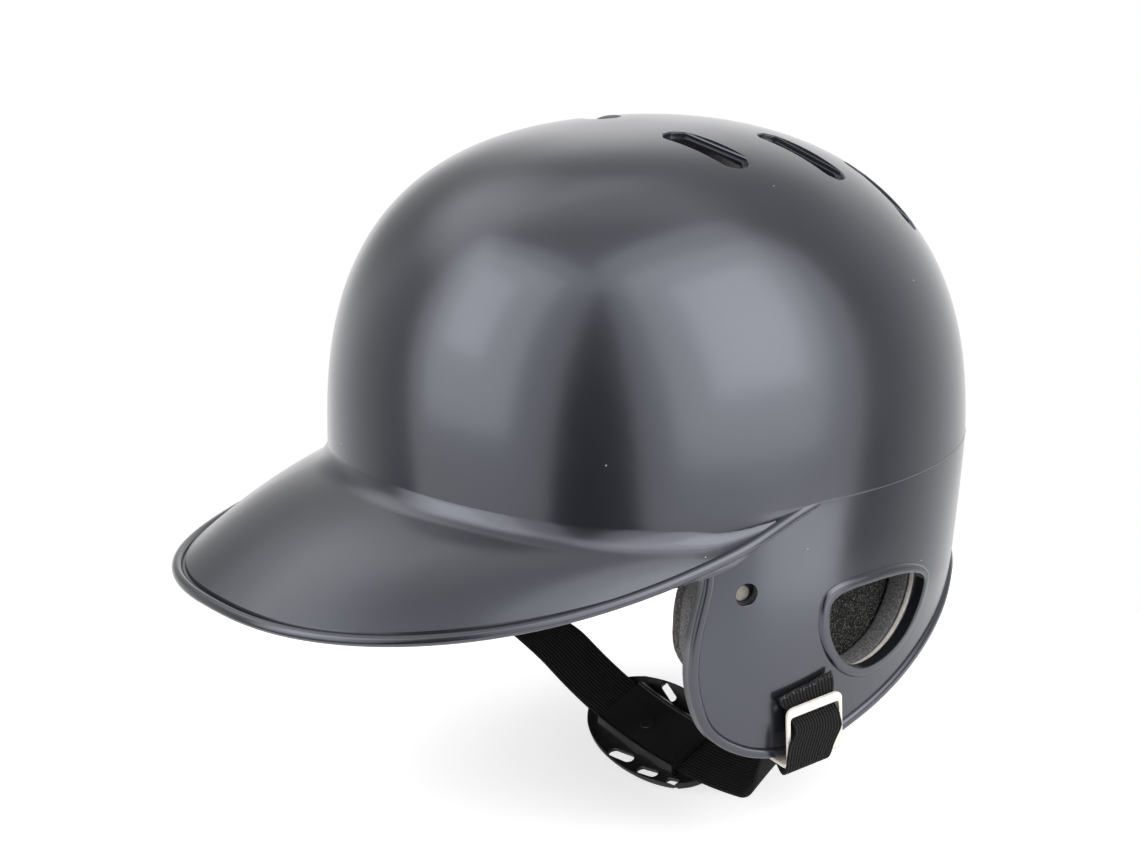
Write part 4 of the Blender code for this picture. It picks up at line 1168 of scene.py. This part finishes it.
def make_pad(name, at, half_across, half_up, finishes):
    """An impact layer glued to the dome and a crowned comfort layer on it."""
    near = WALL + LINER_GAP
    inner = near + IMPACT_THICK + LAYER_GAP
    layers = (
        ("impact", near, IMPACT_THICK, IMPACT_EDGE, IMPACT_FILL, 1.0),
        ("comfort", inner, COMFORT_THICK, COMFORT_EDGE, COMFORT_FILL, PAD_RIM_SHARE),
    )
    for kind, depth, thick, edge, fill, rim_share in layers:
        def place(a, b, c):
            share = crowned(max(abs(a), abs(b)), rim_share)
            p = at(a * sqrt(1 - PAD_CORNER * b * b), b * sqrt(1 - PAD_CORNER * a * a))
            return sunk(p, depth + thick * share * (c + 1) / 2)

        bm = with_nap(soft_block(place, (half_across, half_up, thick / 2), edge))
        piece = finished(f"{name}_{kind}_foam", bm, finishes[f"{kind}_foam"], FOAM_SHARP)
        stand_for(piece, f"{name}_{kind}_pad", "helmet", f"{kind}_foam")


def wall_patch(middle, half_arc, heights):
    """Places on the dome's wall about a turn, between two heights."""
    low, high = heights
    return lambda a, b: dome_at(middle + half_arc * a, (low + high) / 2 + (high - low) / 2 * b)


def half_of(ends):
    return (ends[1] - ends[0]) / 2


def make_liner(finishes):
    radius = (HALF_LENGTH + HALF_WIDTH) / 2
    front = wall_patch(0.0, FRONT_PAD_ARC, FRONT_PAD_Z)
    make_pad("front", front, FRONT_PAD_ARC * radius, half_of(FRONT_PAD_Z), finishes)
    rear = wall_patch(pi, REAR_PAD_ARC, REAR_PAD_Z)
    make_pad("rear", rear, REAR_PAD_ARC * radius, half_of(REAR_PAD_Z), finishes)
    for name, side in (("left_side", 1), ("right_side", -1)):
        patch = wall_patch(side * sum(SIDE_PAD_ARC) / 2, half_of(SIDE_PAD_ARC), SIDE_PAD_Z)
        make_pad(name, patch, half_of(SIDE_PAD_ARC) * radius, half_of(SIDE_PAD_Z), finishes)

    def crown(a, b):
        return crown_at(CROWN_PAD_HALF_WIDTH * a, sum(CROWN_PAD_Y) / 2 + half_of(CROWN_PAD_Y) * b)

    make_pad("crown", crown, CROWN_PAD_HALF_WIDTH, half_of(CROWN_PAD_Y), finishes)


def ear_ring(near, thick, inset, edge):
    """A ring round the ear hole with soft edges, between two depths below the flap's outer face."""
    hole = ear_outline(EAR_PAD_HOLE_CLEARANCE, EAR_STATIONS)
    rim = ear_pad_outline(inset, EAR_STATIONS)
    rings = []
    for start, end in zip(hole, rim):
        start, end = Vector(start), Vector(end)
        width = (end - start).length
        places = (0, width / 2, width)
        corners = [(p, near) for p in places] + [(p, near + thick) for p in reversed(places)]
        ring = []
        for across, depth in rounded(corners, edge, 3):
            ring.append(sunk_inboard(side_at(*start.lerp(end, across / width)), depth))
        rings.append(ring)
    return loft(rings, looped=True)


def ear_dish(near, thick):
    """A whole foam pad over the ear hole, crowned on its free face."""
    def place(a, b, c):
        along, up = squared_oval(a, b, EAR_PAD_POWER)
        share = crowned(oval_reach(along, up, EAR_PAD_POWER), EAR_PAD_RIM_SHARE)
        p = side_at(*ear_pad_place(along, up, EAR_COMFORT_INSET))
        return sunk_inboard(p, near + thick * share * (c + 1) / 2)

    half = ((EAR_PAD_FRONT + EAR_PAD_REAR) / 2, (EAR_PAD_UP + EAR_PAD_DOWN) / 2, thick / 2)
    return soft_block(place, half, COMFORT_EDGE)


def make_ear_pads(finishes):
    backing = WALL + LINER_GAP
    impact = backing + EAR_BACKING_THICK + LAYER_GAP
    comfort = impact + EAR_IMPACT_THICK + LAYER_GAP
    layers = (
        ("ear_backing_sheet", "ear_backing", "backing_sheet", "backing_sheet",
         ear_ring(backing, EAR_BACKING_THICK, EAR_BACKING_INSET, EAR_BACKING_EDGE)),
        ("ear_impact_foam", "ear_impact_ring", "impact_foam", "ear_impact_foam",
         with_nap(ear_ring(impact, EAR_IMPACT_THICK, 0.0, EAR_IMPACT_EDGE))),
        ("ear_comfort_foam", "ear_comfort_pad", "comfort_foam", "ear_comfort_foam",
         with_nap(ear_dish(comfort, EAR_COMFORT_THICK))),
    )
    for name, node, slot, finish, left in layers:
        for side, bm in (("right", turned_over(left)), ("left", left)):
            piece = finished(f"{side}_{name}", bm, finishes[finish], FOAM_SHARP)
            stand_for(piece, f"{side}_{node}", "helmet", slot)


# Clip and webbing end, in a frame on the flap's edge: back along it, up the wall and out of it

def clip_frame():
    edge = lower_edge(6)
    reach = CLIP_WIDTH / 6
    slope = (edge_height(CLIP_Y + reach, edge) - edge_height(CLIP_Y - reach, edge)) / (2 * reach)
    base = side_at(CLIP_Y, edge_height(CLIP_Y, edge) - EDGE_BEAD_OVERLAP)
    out = outward(base)
    back = Vector((0, 1, slope))
    back = (back - out * back.dot(out)).normalized()
    return base, back, out.cross(back), out


def arc(centre, radius, start, end, count):
    angles = [start + (end - start) * i / (count - 1) for i in range(count)]
    return [(centre[0] + radius * cos(a), centre[1] + radius * sin(a)) for a in angles]


def clip_levels():
    """How far out the clip's plate lies, how far in its hook, and how low its bend."""
    plate = CLIP_STAND_OFF + CLIP_THICK / 2
    leg = -(WALL + EDGE_BEAD_PROUD + CLIP_HOOK_CLEARANCE + CLIP_THICK / 2)
    return plate, leg, -(CLIP_HOOK_DEPTH + CLIP_THICK / 2)


def make_clip():
    """A flat plate with round corners and a window, bent under the flap's edge into a hook."""
    base, back, up, out = clip_frame()
    plate, leg, low = clip_levels()
    straight = CLIP_HEIGHT - (low + CLIP_BEND)
    ends = [CLIP_CORNER * (1 - cos(pi / 2 * k / 6)) for k in range(7)]
    line = [(plate, CLIP_HEIGHT - d) for d in ends]
    line += [(plate, CLIP_HEIGHT - CLIP_CORNER - (straight - CLIP_CORNER) * k / 8) for k in range(1, 8)]
    line += arc((plate - CLIP_BEND, low + CLIP_BEND), CLIP_BEND, 0, -pi / 2, 9)
    line += arc((leg + CLIP_BEND, low + CLIP_BEND), CLIP_BEND, -pi / 2, -pi, 9)
    line += [(leg, CLIP_HOOK_RISE - d) for d in reversed(ends)]
    run = lengths_of(line)
    rings = []
    for i, p in enumerate(line):
        from_end = min(run[i], run[-1] - run[i])
        inset = max(0.0, CLIP_CORNER - from_end)
        half = CLIP_WIDTH / 2 - CLIP_CORNER + sqrt(CLIP_CORNER ** 2 - inset ** 2)
        step = run_of(line, i)
        normal = out * step.y - up * step.x
        middle = base + out * p[0] + up * p[1]
        thin = CLIP_THICK / 2
        corners = rounded(((-half, -thin), (half, -thin), (half, thin), (-half, thin)), CLIP_EDGE, 3)
        rings.append([middle + back * a + normal * b for a, b in corners])
    top = CLIP_HEIGHT - CLIP_TOP_BAR
    half, sill = WEB_WIDTH / 2 + WEB_GAP * 2, top - CLIP_WINDOW_HEIGHT
    window = []
    for grow, depth in ((CLIP_EDGE, -1.0), (0.0, -0.35), (0.0, 0.35), (CLIP_EDGE, 0.55), (CLIP_EDGE, 1.0)):
        reach, low_side, high_side = half + grow, sill - grow, top + grow
        corners = ((-reach, low_side), (reach, low_side), (reach, high_side), (-reach, high_side))
        level_out = plate + CLIP_THICK * depth
        ring = rounded(corners, CLIP_WINDOW_CORNER, 5)
        window.append([base + back * a + up * b + out * level_out for a, b in ring])
    return combined(loft(rings), (("DIFFERENCE", loft(window)),))


def rib_section():
    """Round a ribbed strip of webbing: (across, off) places and the distance round at each."""
    half, count = WEB_WIDTH / 2, WEB_RIBS * WEB_RIB_POINTS
    upper = []
    for k in range(count + 1):
        share = k / count
        across = (2 * share - 1) * half
        groove = 1 - abs(sin(pi * WEB_RIBS * share)) ** WEB_RIB_POWER
        inside = sqrt(1 - abs(2 * share - 1) ** WEB_SELVEDGE_POWER)
        kept = WEB_SELVEDGE_SHARE + (1 - WEB_SELVEDGE_SHARE) * inside
        upper.append((across, (WEB_THICK / 2 - WEB_RIB_DEPTH * groove) * kept))
    section = upper + [(a, -b) for a, b in reversed(upper)]
    return section, [a for a, _ in section] + [section[0][0]]


def web_line():
    """The webbing's middle line: behind the top bar, out through the window and round under the hook."""
    plate, leg, low = clip_levels()
    behind = CLIP_STAND_OFF - WEB_GAP - WEB_THICK / 2
    front = plate + CLIP_THICK / 2 + WEB_GAP + WEB_THICK / 2
    bar = CLIP_HEIGHT - CLIP_TOP_BAR
    sill = bar - CLIP_WINDOW_HEIGHT
    under = low - CLIP_THICK / 2 - WEB_GAP - WEB_THICK / 2
    turn = CLIP_BEND + CLIP_THICK / 2 + WEB_GAP + WEB_THICK / 2
    line = [(behind - WEB_TAIL_LEAN, CLIP_HEIGHT + WEB_TAIL)]
    line += [(behind - WEB_TAIL_LEAN / 2, CLIP_HEIGHT + WEB_TAIL / 2), (behind, bar)]
    mouth = CLIP_WINDOW_HEIGHT * WEB_MOUTH
    line += [(plate, bar - mouth / 2), (front, bar - mouth), (front, sill), (front, sill / 2)]
    line += arc((front - turn, under + turn), turn, 0, -pi / 2, 5)
    return line + [(leg - CLIP_THICK, under)], under, leg


def strap_start():
    """Middle of the webbing at the split under the left flap, and the webbing's tilt there."""
    _, under, leg = web_line()
    base, back, up, out = clip_frame()
    return base + out * (leg - CLIP_THICK) + up * under, atan2(back.z, back.y)


def fray(bm, end):
    """Short loose threads along the cut end of the webbing."""
    first, last = end[0], end[len(end) // 2 - 1]
    for k in range(FRAY_COUNT):
        share = (k + 0.5) / FRAY_COUNT
        wander = noise.noise_vector(Vector((k * 1.7, 0.3, 0.9)))
        way = (UP + wander * FRAY_WANDER).normalized()
        length = FRAY_LENGTH * (FRAY_LEAST + FRAY_CHANGE * abs(wander.x))
        middle = first.lerp(last, share) + way * length * 0.3
        place = Matrix.Translation(middle) @ way.to_track_quat("Z", "Y").to_matrix().to_4x4()
        thread = {"radius1": FRAY_RADIUS, "radius2": FRAY_RADIUS / 3, "depth": length}
        bmesh.ops.create_cone(bm, cap_ends=True, segments=4, matrix=place, **thread)


def make_web_loop():
    """The webbing's end, threaded through the clip, with its cut end standing above it."""
    base, back, up, out = clip_frame()
    line = curve_through(web_line()[0], 8)
    section, round_it = rib_section()
    plate, leg, low = clip_levels()
    clear = plate + CLIP_THICK / 2 + WEB_GAP
    mouth = CLIP_HEIGHT - CLIP_TOP_BAR - CLIP_WINDOW_HEIGHT * WEB_MOUTH
    rings = []
    for i, p in enumerate(line):
        step = run_of(line, i)
        normal = out * step.y - up * step.x
        inward = smooth_ramp((clear - p[0]) / (clear - leg))
        drop = (mouth - p[1]) / (mouth - low)
        tail = smooth_ramp((p[1] - CLIP_HEIGHT + CLIP_TOP_BAR) / WEB_TAIL)
        fan = smooth_ramp(drop * WEB_FAN_RATE) * (1 - inward) * (1 - smooth_ramp(drop))
        fan += WEB_TAIL_FAN * tail
        lean = (smooth_ramp(drop) * (1 - inward) + WEB_TAIL_SHIFT * tail) * WEB_LEAN
        ring = []
        for a, b in section:
            cut = max(0.0, p[1] - CLIP_HEIGHT) * WEB_CUT * (0.5 - a / WEB_WIDTH)
            across = a * (1 + WEB_FAN * fan) - lean
            ring.append(base + out * p[0] + up * (p[1] - cut) + back * across + normal * b)
        rings.append(ring)
    bm = loft(rings, cloth=(lengths_of(line), round_it))
    fray(bm, rings[0])
    split = strap_start()[0].x + WEB_SPLIT_GAP
    plane = {"plane_co": (split, 0, 0), "plane_no": (-1, 0, 0)}
    bmesh.ops.bisect_plane(bm, geom=all_of(bm), clear_outer=True, **plane)
    bmesh.ops.holes_fill(bm, edges=[e for e in bm.edges if e.is_boundary], sides=0)
    return bm


def make_clips(finishes):
    for name, node, slot, left in (
        ("hook_clip", "clip", "clip", make_clip()),
        ("webbing_loop", "webbing_end", "webbing", make_web_loop()),
    ):
        for side, bm in (("right", turned_over(left)), ("left", left)):
            piece = finished(f"{side}_{name}", bm, finishes[slot])
            stand_for(piece, f"{side}_{node}", "clips", slot)


# Free span of the strap, and the cup that slides on it

def strap_place(along, across, off):
    """A place in the strap's arc: along it, across its width and off its upper face."""
    lift = across * sin(STRAP_TILT) + off * cos(STRAP_TILT)
    y = STRAP_LOW_Y + across * cos(STRAP_TILT) - off * sin(STRAP_TILT)
    turn, radius = along / STRAP_RADIUS - asin(STRAP_LOW_X / STRAP_RADIUS), STRAP_RADIUS - lift
    return Vector((STRAP_LOW_X + radius * sin(turn), y, STRAP_LOW_Z + STRAP_RADIUS - radius * cos(turn)))


def strap_station(x):
    """Middle of the strap at x, its slope and its tilt: an arc, then an easy bend up to each clip."""
    start, end_tilt = strap_start()
    side = 1 if x > 0 else -1
    arc_end = STRAP_ARC_LEFT if x > 0 else STRAP_ARC_RIGHT
    inner = side * min(abs(x), arc_end)
    turn = asin((inner - STRAP_LOW_X) / STRAP_RADIUS)
    z = STRAP_LOW_Z + STRAP_RADIUS * (1 - cos(turn))
    slope = sin(turn) / cos(turn)
    span = start.x - arc_end
    s = max(0.0, abs(x) - arc_end) / span
    if s > 0:
        leave = side * slope * span
        rise = start.z - z
        slope = side * (leave * (3 * s * s - 4 * s + 1) + rise * 6 * (s - s * s)) / span
        z += leave * (s ** 3 - 2 * s * s + s) + rise * (3 * s * s - 2 * s ** 3)
    ease = smooth_ramp(s)
    y = STRAP_LOW_Y + (start.y - STRAP_LOW_Y) * ease
    return Vector((x, y, z)), slope, STRAP_TILT + (end_tilt - STRAP_TILT) * ease


def make_strap_half(side):
    """Half of the strap, from its clip to the middle of the cup's tunnel."""
    reach = strap_start()[0].x
    count = round(reach / WEB_STEP)
    section, round_it = rib_section()
    rings, middles = [], []
    for i in range(count + 1):
        middle, slope, tilt = strap_station(side * max(reach * (1 - i / count), TINY))
        lift = UP if i == 0 else Vector((-slope, 0, 1)).normalized()
        wide = Vector((0, cos(tilt), 0)) + lift * sin(tilt)
        off = Vector((0, -sin(tilt), 0)) + lift * cos(tilt)
        rings.append([middle + wide * a + off * b for a, b in section])
        middles.append(middle)
    along = [WEB_WIDTH + d for d in lengths_of(middles)]
    return loft(rings, cloth=(along, round_it))


def make_strap(finish):
    for name, side in (("left", 1), ("right", -1)):
        piece = finished(f"{name}_strap_half", make_strap_half(side), finish)
        start = strap_station(side * STRAP_BLEND_START)[0]
        end = strap_station(side * STRAP_BLEND_END)[0]
        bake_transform(piece)
        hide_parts("chin_webbing")


def band_sides():
    """Inner and outer face of the band's side walls, from the strap's middle."""
    inner = WEB_WIDTH / 2 + WEB_GAP * 2
    return inner, inner + CUP_BAND_SIDE


def cup_floor(across):
    """Height of the dish's upper face off the strap's middle line."""
    flat = -(WEB_THICK / 2 + WEB_GAP)
    free = max(0.0, abs(across) - WEB_WIDTH / 2) / (CUP_HALF_WIDTH - WEB_WIDTH / 2)
    return flat + CUP_DISH * free ** CUP_DISH_POWER


def make_cup_dish():
    """The dish with its round, slightly thicker rim."""
    def place(a, b, c):
        u, v = squared_oval(a, b, CUP_OUTLINE_POWER)
        rim = eased(oval_reach(u, v, CUP_OUTLINE_POWER), *CUP_RIM_BAND)
        across = CUP_HALF_WIDTH * v
        height = cup_floor(across) + CUP_WALL * (c - 1) / 2 + c * CUP_RIM * rim
        return strap_place(CUP_ALONG + CUP_HALF_LENGTH * u, across, height)

    half = (CUP_HALF_LENGTH, CUP_HALF_WIDTH, CUP_WALL / 2)
    return soft_block(place, half, CUP_WALL * CUP_EDGE_SHARE)


def mirrored(outline):
    """Points of an outline on its other side, in the order that goes on round it."""
    return tuple((-v, w) for v, w in reversed(outline))


def make_cup_band():
    """The band over the strap: side walls on the dish, sloping shoulders and two ribs along the top."""
    inner, outer = band_sides()
    ceiling = WEB_THICK / 2 + WEB_GAP
    top = ceiling + CUP_WALL
    foot = cup_floor(outer) - CUP_WALL / 2
    rib = top + CUP_RIB_PROUD
    rib_in, rib_out = CUP_RIB_AT - CUP_RIB / 2, CUP_RIB_AT + CUP_RIB / 2
    tunnel = ((inner, ceiling), (inner, foot), (outer, foot))
    crest = ((outer, ceiling), (rib_out, top), (rib_out, rib), (rib_in, rib), (rib_in, top))
    outline = mirrored(tunnel) + tunnel + crest + mirrored(crest)
    section = rounded(outline, CUP_CORNER, 3)
    shares = [2 * i / CUP_BAND_STEPS - 1 for i in range(CUP_BAND_STEPS + 1)]
    places = [CUP_ALONG + CUP_BAND_HALF * share for share in shares]
    return loft([[strap_place(u, v, w) for v, w in section] for u in places])


def make_cup_mark():
    """The low round mark that the mould leaves on the band."""
    along, across, radius, proud = CUP_MARK
    top = WEB_THICK / 2 + WEB_GAP + CUP_WALL
    rings = []
    for height, size in ((-CUP_WALL / 2, radius), (0.0, radius), (proud, radius - proud)):
        ring = [(along + size * cos(t), across + size * sin(t), top + height) for t in turns_of(36, 0.0)]
        rings.append([strap_place(*p) for p in ring])
    return loft(rings)


def cup_rim(along):
    """Half width of the cup at a place along it."""
    share = abs(along) / CUP_HALF_LENGTH
    return CUP_HALF_WIDTH * (1 - share ** CUP_OUTLINE_POWER) ** (1 / CUP_OUTLINE_POWER)


def make_cup_slot(along, length, width, inward_turn, side):
    """An oval slot through the middle of a side flange, turned towards the strap, with its edges broken."""
    along += CUP_SLOT_SHIFT[side]
    width *= CUP_SLOT_WIDTH_SHARE[side]
    across = (cup_rim(along) + band_sides()[1]) / 2
    turn = -side * inward_turn
    straight = (length - width) / 2

    def ring(grow, height):
        found = []
        for a in turns_of(32):
            p = (width / 2 + grow) * cos(a) + (straight if cos(a) > 0 else -straight)
            q = (width / 2 + grow) * sin(a)
            u, v = p * cos(turn) - q * sin(turn), p * sin(turn) + q * cos(turn)
            floor = cup_floor(side * across + v)
            found.append(strap_place(CUP_ALONG + along + u, side * across + v, floor + height))
        return found

    return loft([
        ring(CUP_SLOT_BREAK, -CUP_WALL - CUP_DISH),
        ring(CUP_SLOT_BREAK, -CUP_WALL),
        ring(0.0, -CUP_WALL + CUP_SLOT_BREAK),
        ring(0.0, -CUP_SLOT_BREAK),
        ring(CUP_SLOT_BREAK, 0.0),
        ring(CUP_SLOT_BREAK, CUP_DISH),
    ])


def make_cup(finish):
    slots = [make_cup_slot(*sizes, side) for sizes in CUP_SLOTS for side in (-1, 1)]
    steps = (("UNION", make_cup_band()), ("UNION", make_cup_mark()), ("DIFFERENCE", joined(*slots)))
    piece = finished("moulded_cup", combined(make_cup_dish(), steps), finish, CUP_SHARP)
    stand_for(piece, "chin_cup", "cup", "cup")


# Studio

def make_camera():
    up = CAMERA_WAY.cross(CAMERA_RIGHT)
    data = bpy.data.cameras.new("photo_camera")
    data.sensor_width = SENSOR
    data.lens = LENS_PIXELS / IMAGE_WIDTH * SENSOR
    data.shift_x = (IMAGE_WIDTH / 2 - AIM_X) / IMAGE_WIDTH
    data.shift_y = (AIM_Y - IMAGE_HEIGHT / 2) / IMAGE_WIDTH
    data.clip_start, data.clip_end = 0.01, 100.0
    camera = bpy.data.objects.new("photo_camera", data)
    turn = Matrix((CAMERA_RIGHT, up, CAMERA_WAY)).transposed()
    camera.matrix_world = Matrix.Translation(CAMERA_WAY * CAMERA_DISTANCE) @ turn.to_4x4()
    bpy.context.scene.collection.objects.link(camera)
    bpy.context.scene.camera = camera


def way_at(turn, rise):
    """The direction at a turn from the camera's own, towards its right, and a rise, in degrees."""
    ahead = Vector((CAMERA_WAY.x, CAMERA_WAY.y, 0)).normalized()
    flat = ahead * cos(radians(turn)) + CAMERA_RIGHT * sin(radians(turn))
    return flat * cos(radians(rise)) + UP * sin(radians(rise))


def add_softbox(name, turns, rises, brightness):
    """A softbox that faces the helmet and fills these turns and rises, where a brightness of 1 is white."""
    middle = sum(rises) / 2
    way = way_at(sum(turns) / 2, middle)
    data = bpy.data.lights.new(name, "AREA")
    data.shape = "RECTANGLE"
    data.size = 2 * SOFTBOX_DISTANCE * tan(radians(half_of(turns)) * cos(radians(middle)))
    data.size_y = 2 * SOFTBOX_DISTANCE * tan(radians(half_of(rises)))
    data.energy = brightness * SOFTBOX_WATTS * data.size * data.size_y
    lamp = bpy.data.objects.new(name, data)
    lamp.location = way * SOFTBOX_DISTANCE
    lamp.rotation_euler = way.to_track_quat("Z", "Y").to_euler()
    bpy.context.scene.collection.objects.link(lamp)


def ray_kinds(tree):
    """1 for a ray from the eye, straight or through glass, and 1 for a mirrored ray."""
    path = add_node(tree, "ShaderNodeLightPath")
    eye = larger_of(tree, path.outputs["Is Camera Ray"], path.outputs["Is Transmission Ray"])
    return eye, path.outputs["Is Glossy Ray"]


def make_floor():
    """A round pale table, which fades into the white behind it."""
    low = min(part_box(node)[0].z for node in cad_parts)
    bm = bmesh.new()
    bmesh.ops.create_circle(bm, cap_ends=True, segments=128, radius=FLOOR_RADIUS)
    bmesh.ops.translate(bm, vec=(0, 0, low - FLOOR_GAP), verts=bm.verts)
    finish, tree, shader = plain_finish("pale_floor", (0.80, 0.80, 0.80), 0.9)
    flat = vector_of(tree, "MULTIPLY", object_place(tree), (1, 1, 0))
    reach = vector_of(tree, "LENGTH", flat, output="Value")
    start, end = FLOOR_FADE
    fade = spread(tree, reach, FLOOR_RADIUS * start, FLOOR_RADIUS * end, FLOOR_GLOW, 1.0)
    eye, gloss = ray_kinds(tree)
    seen = larger_of(tree, eye, product_of(tree, gloss, FLOOR_MIRRORED))
    shader.inputs["Emission Color"].default_value = (1, 1, 1, 1)
    join(tree, shader, Emission_Strength=product_of(tree, fade, seen))
    finished("floor", bm, finish)


def make_room():
    """A room that is white to the eye, and mirrored as bright behind and above, dark behind the camera."""
    world = bpy.data.worlds.new("studio")
    bpy.context.scene.world = world
    world.use_nodes = True
    tree = world.node_tree
    way = add_node(tree, "ShaderNodeTexCoord").outputs["Generated"]
    rise = axis_of(tree, way, "Z")

    def towards(turn, height=0):
        return vector_of(tree, "DOT_PRODUCT", way, way_at(turn, height), output="Value")

    behind = towards(180)
    backdrop = spread(tree, behind, *ROOM_BACKDROP_SPAN, ROOM_DARK, ROOM_BACKDROP)
    gap = spread(tree, towards(*ROOM_GAP_AT), *ROOM_GAP_SPAN, 1.0, ROOM_GAP)
    wall = spread(tree, towards(*ROOM_LEFT_AT), *ROOM_LEFT_SPAN, ROOM_RIGHT, ROOM_LEFT)
    wall = product_of(tree, wall, spread(tree, behind, *ROOM_WALL_SPAN, 0.0, 1.0))
    back = spread(tree, rise, *ROOM_WALL_RISE, product_of(tree, backdrop, gap), wall)
    over = spread(tree, rise, *ROOM_TOP_RISE, ROOM_DARK, ROOM_TOP)
    over = product_of(tree, over, spread(tree, behind, *ROOM_TOP_SPAN, ROOM_TOP_FRONT, 1.0))
    left = spread(tree, towards(ROOM_TOP_LEFT_AT), *ROOM_TOP_LEFT_SPAN, 1.0, ROOM_TOP_LEFT)
    over = product_of(tree, over, left)
    eye, gloss = ray_kinds(tree)
    lit = product_of(tree, larger_of(tree, back, over), spread(tree, gloss, 0.0, 1.0, ROOM_LIGHT, 1.0))
    ground = tree.nodes["Background"]
    ground.inputs["Color"].default_value = (1, 1, 1, 1)
    join(tree, ground, Strength=larger_of(tree, lit, eye))


def make_studio():
    make_floor()
    make_room()
    for softbox in SOFTBOXES:
        add_softbox(*softbox)
    bpy.context.scene.view_settings.view_transform = "Standard"


def main():
    finishes = {key: foam_finish(*look) for key, *look in FOAMS}
    finishes["shell"] = shell_finish()
    finishes["backing_sheet"] = backing_finish()
    finishes["webbing"] = webbing_finish()
    finishes["cup"] = cup_finish()
    finishes["clip"] = clip_finish()
    make_shell(finishes["shell"])
    make_liner(finishes)
    make_ear_pads(finishes)
    make_clips(finishes)
    make_strap(finishes["webbing"])
    make_cup(finishes["cup"])
    make_camera()
    make_studio()


main()
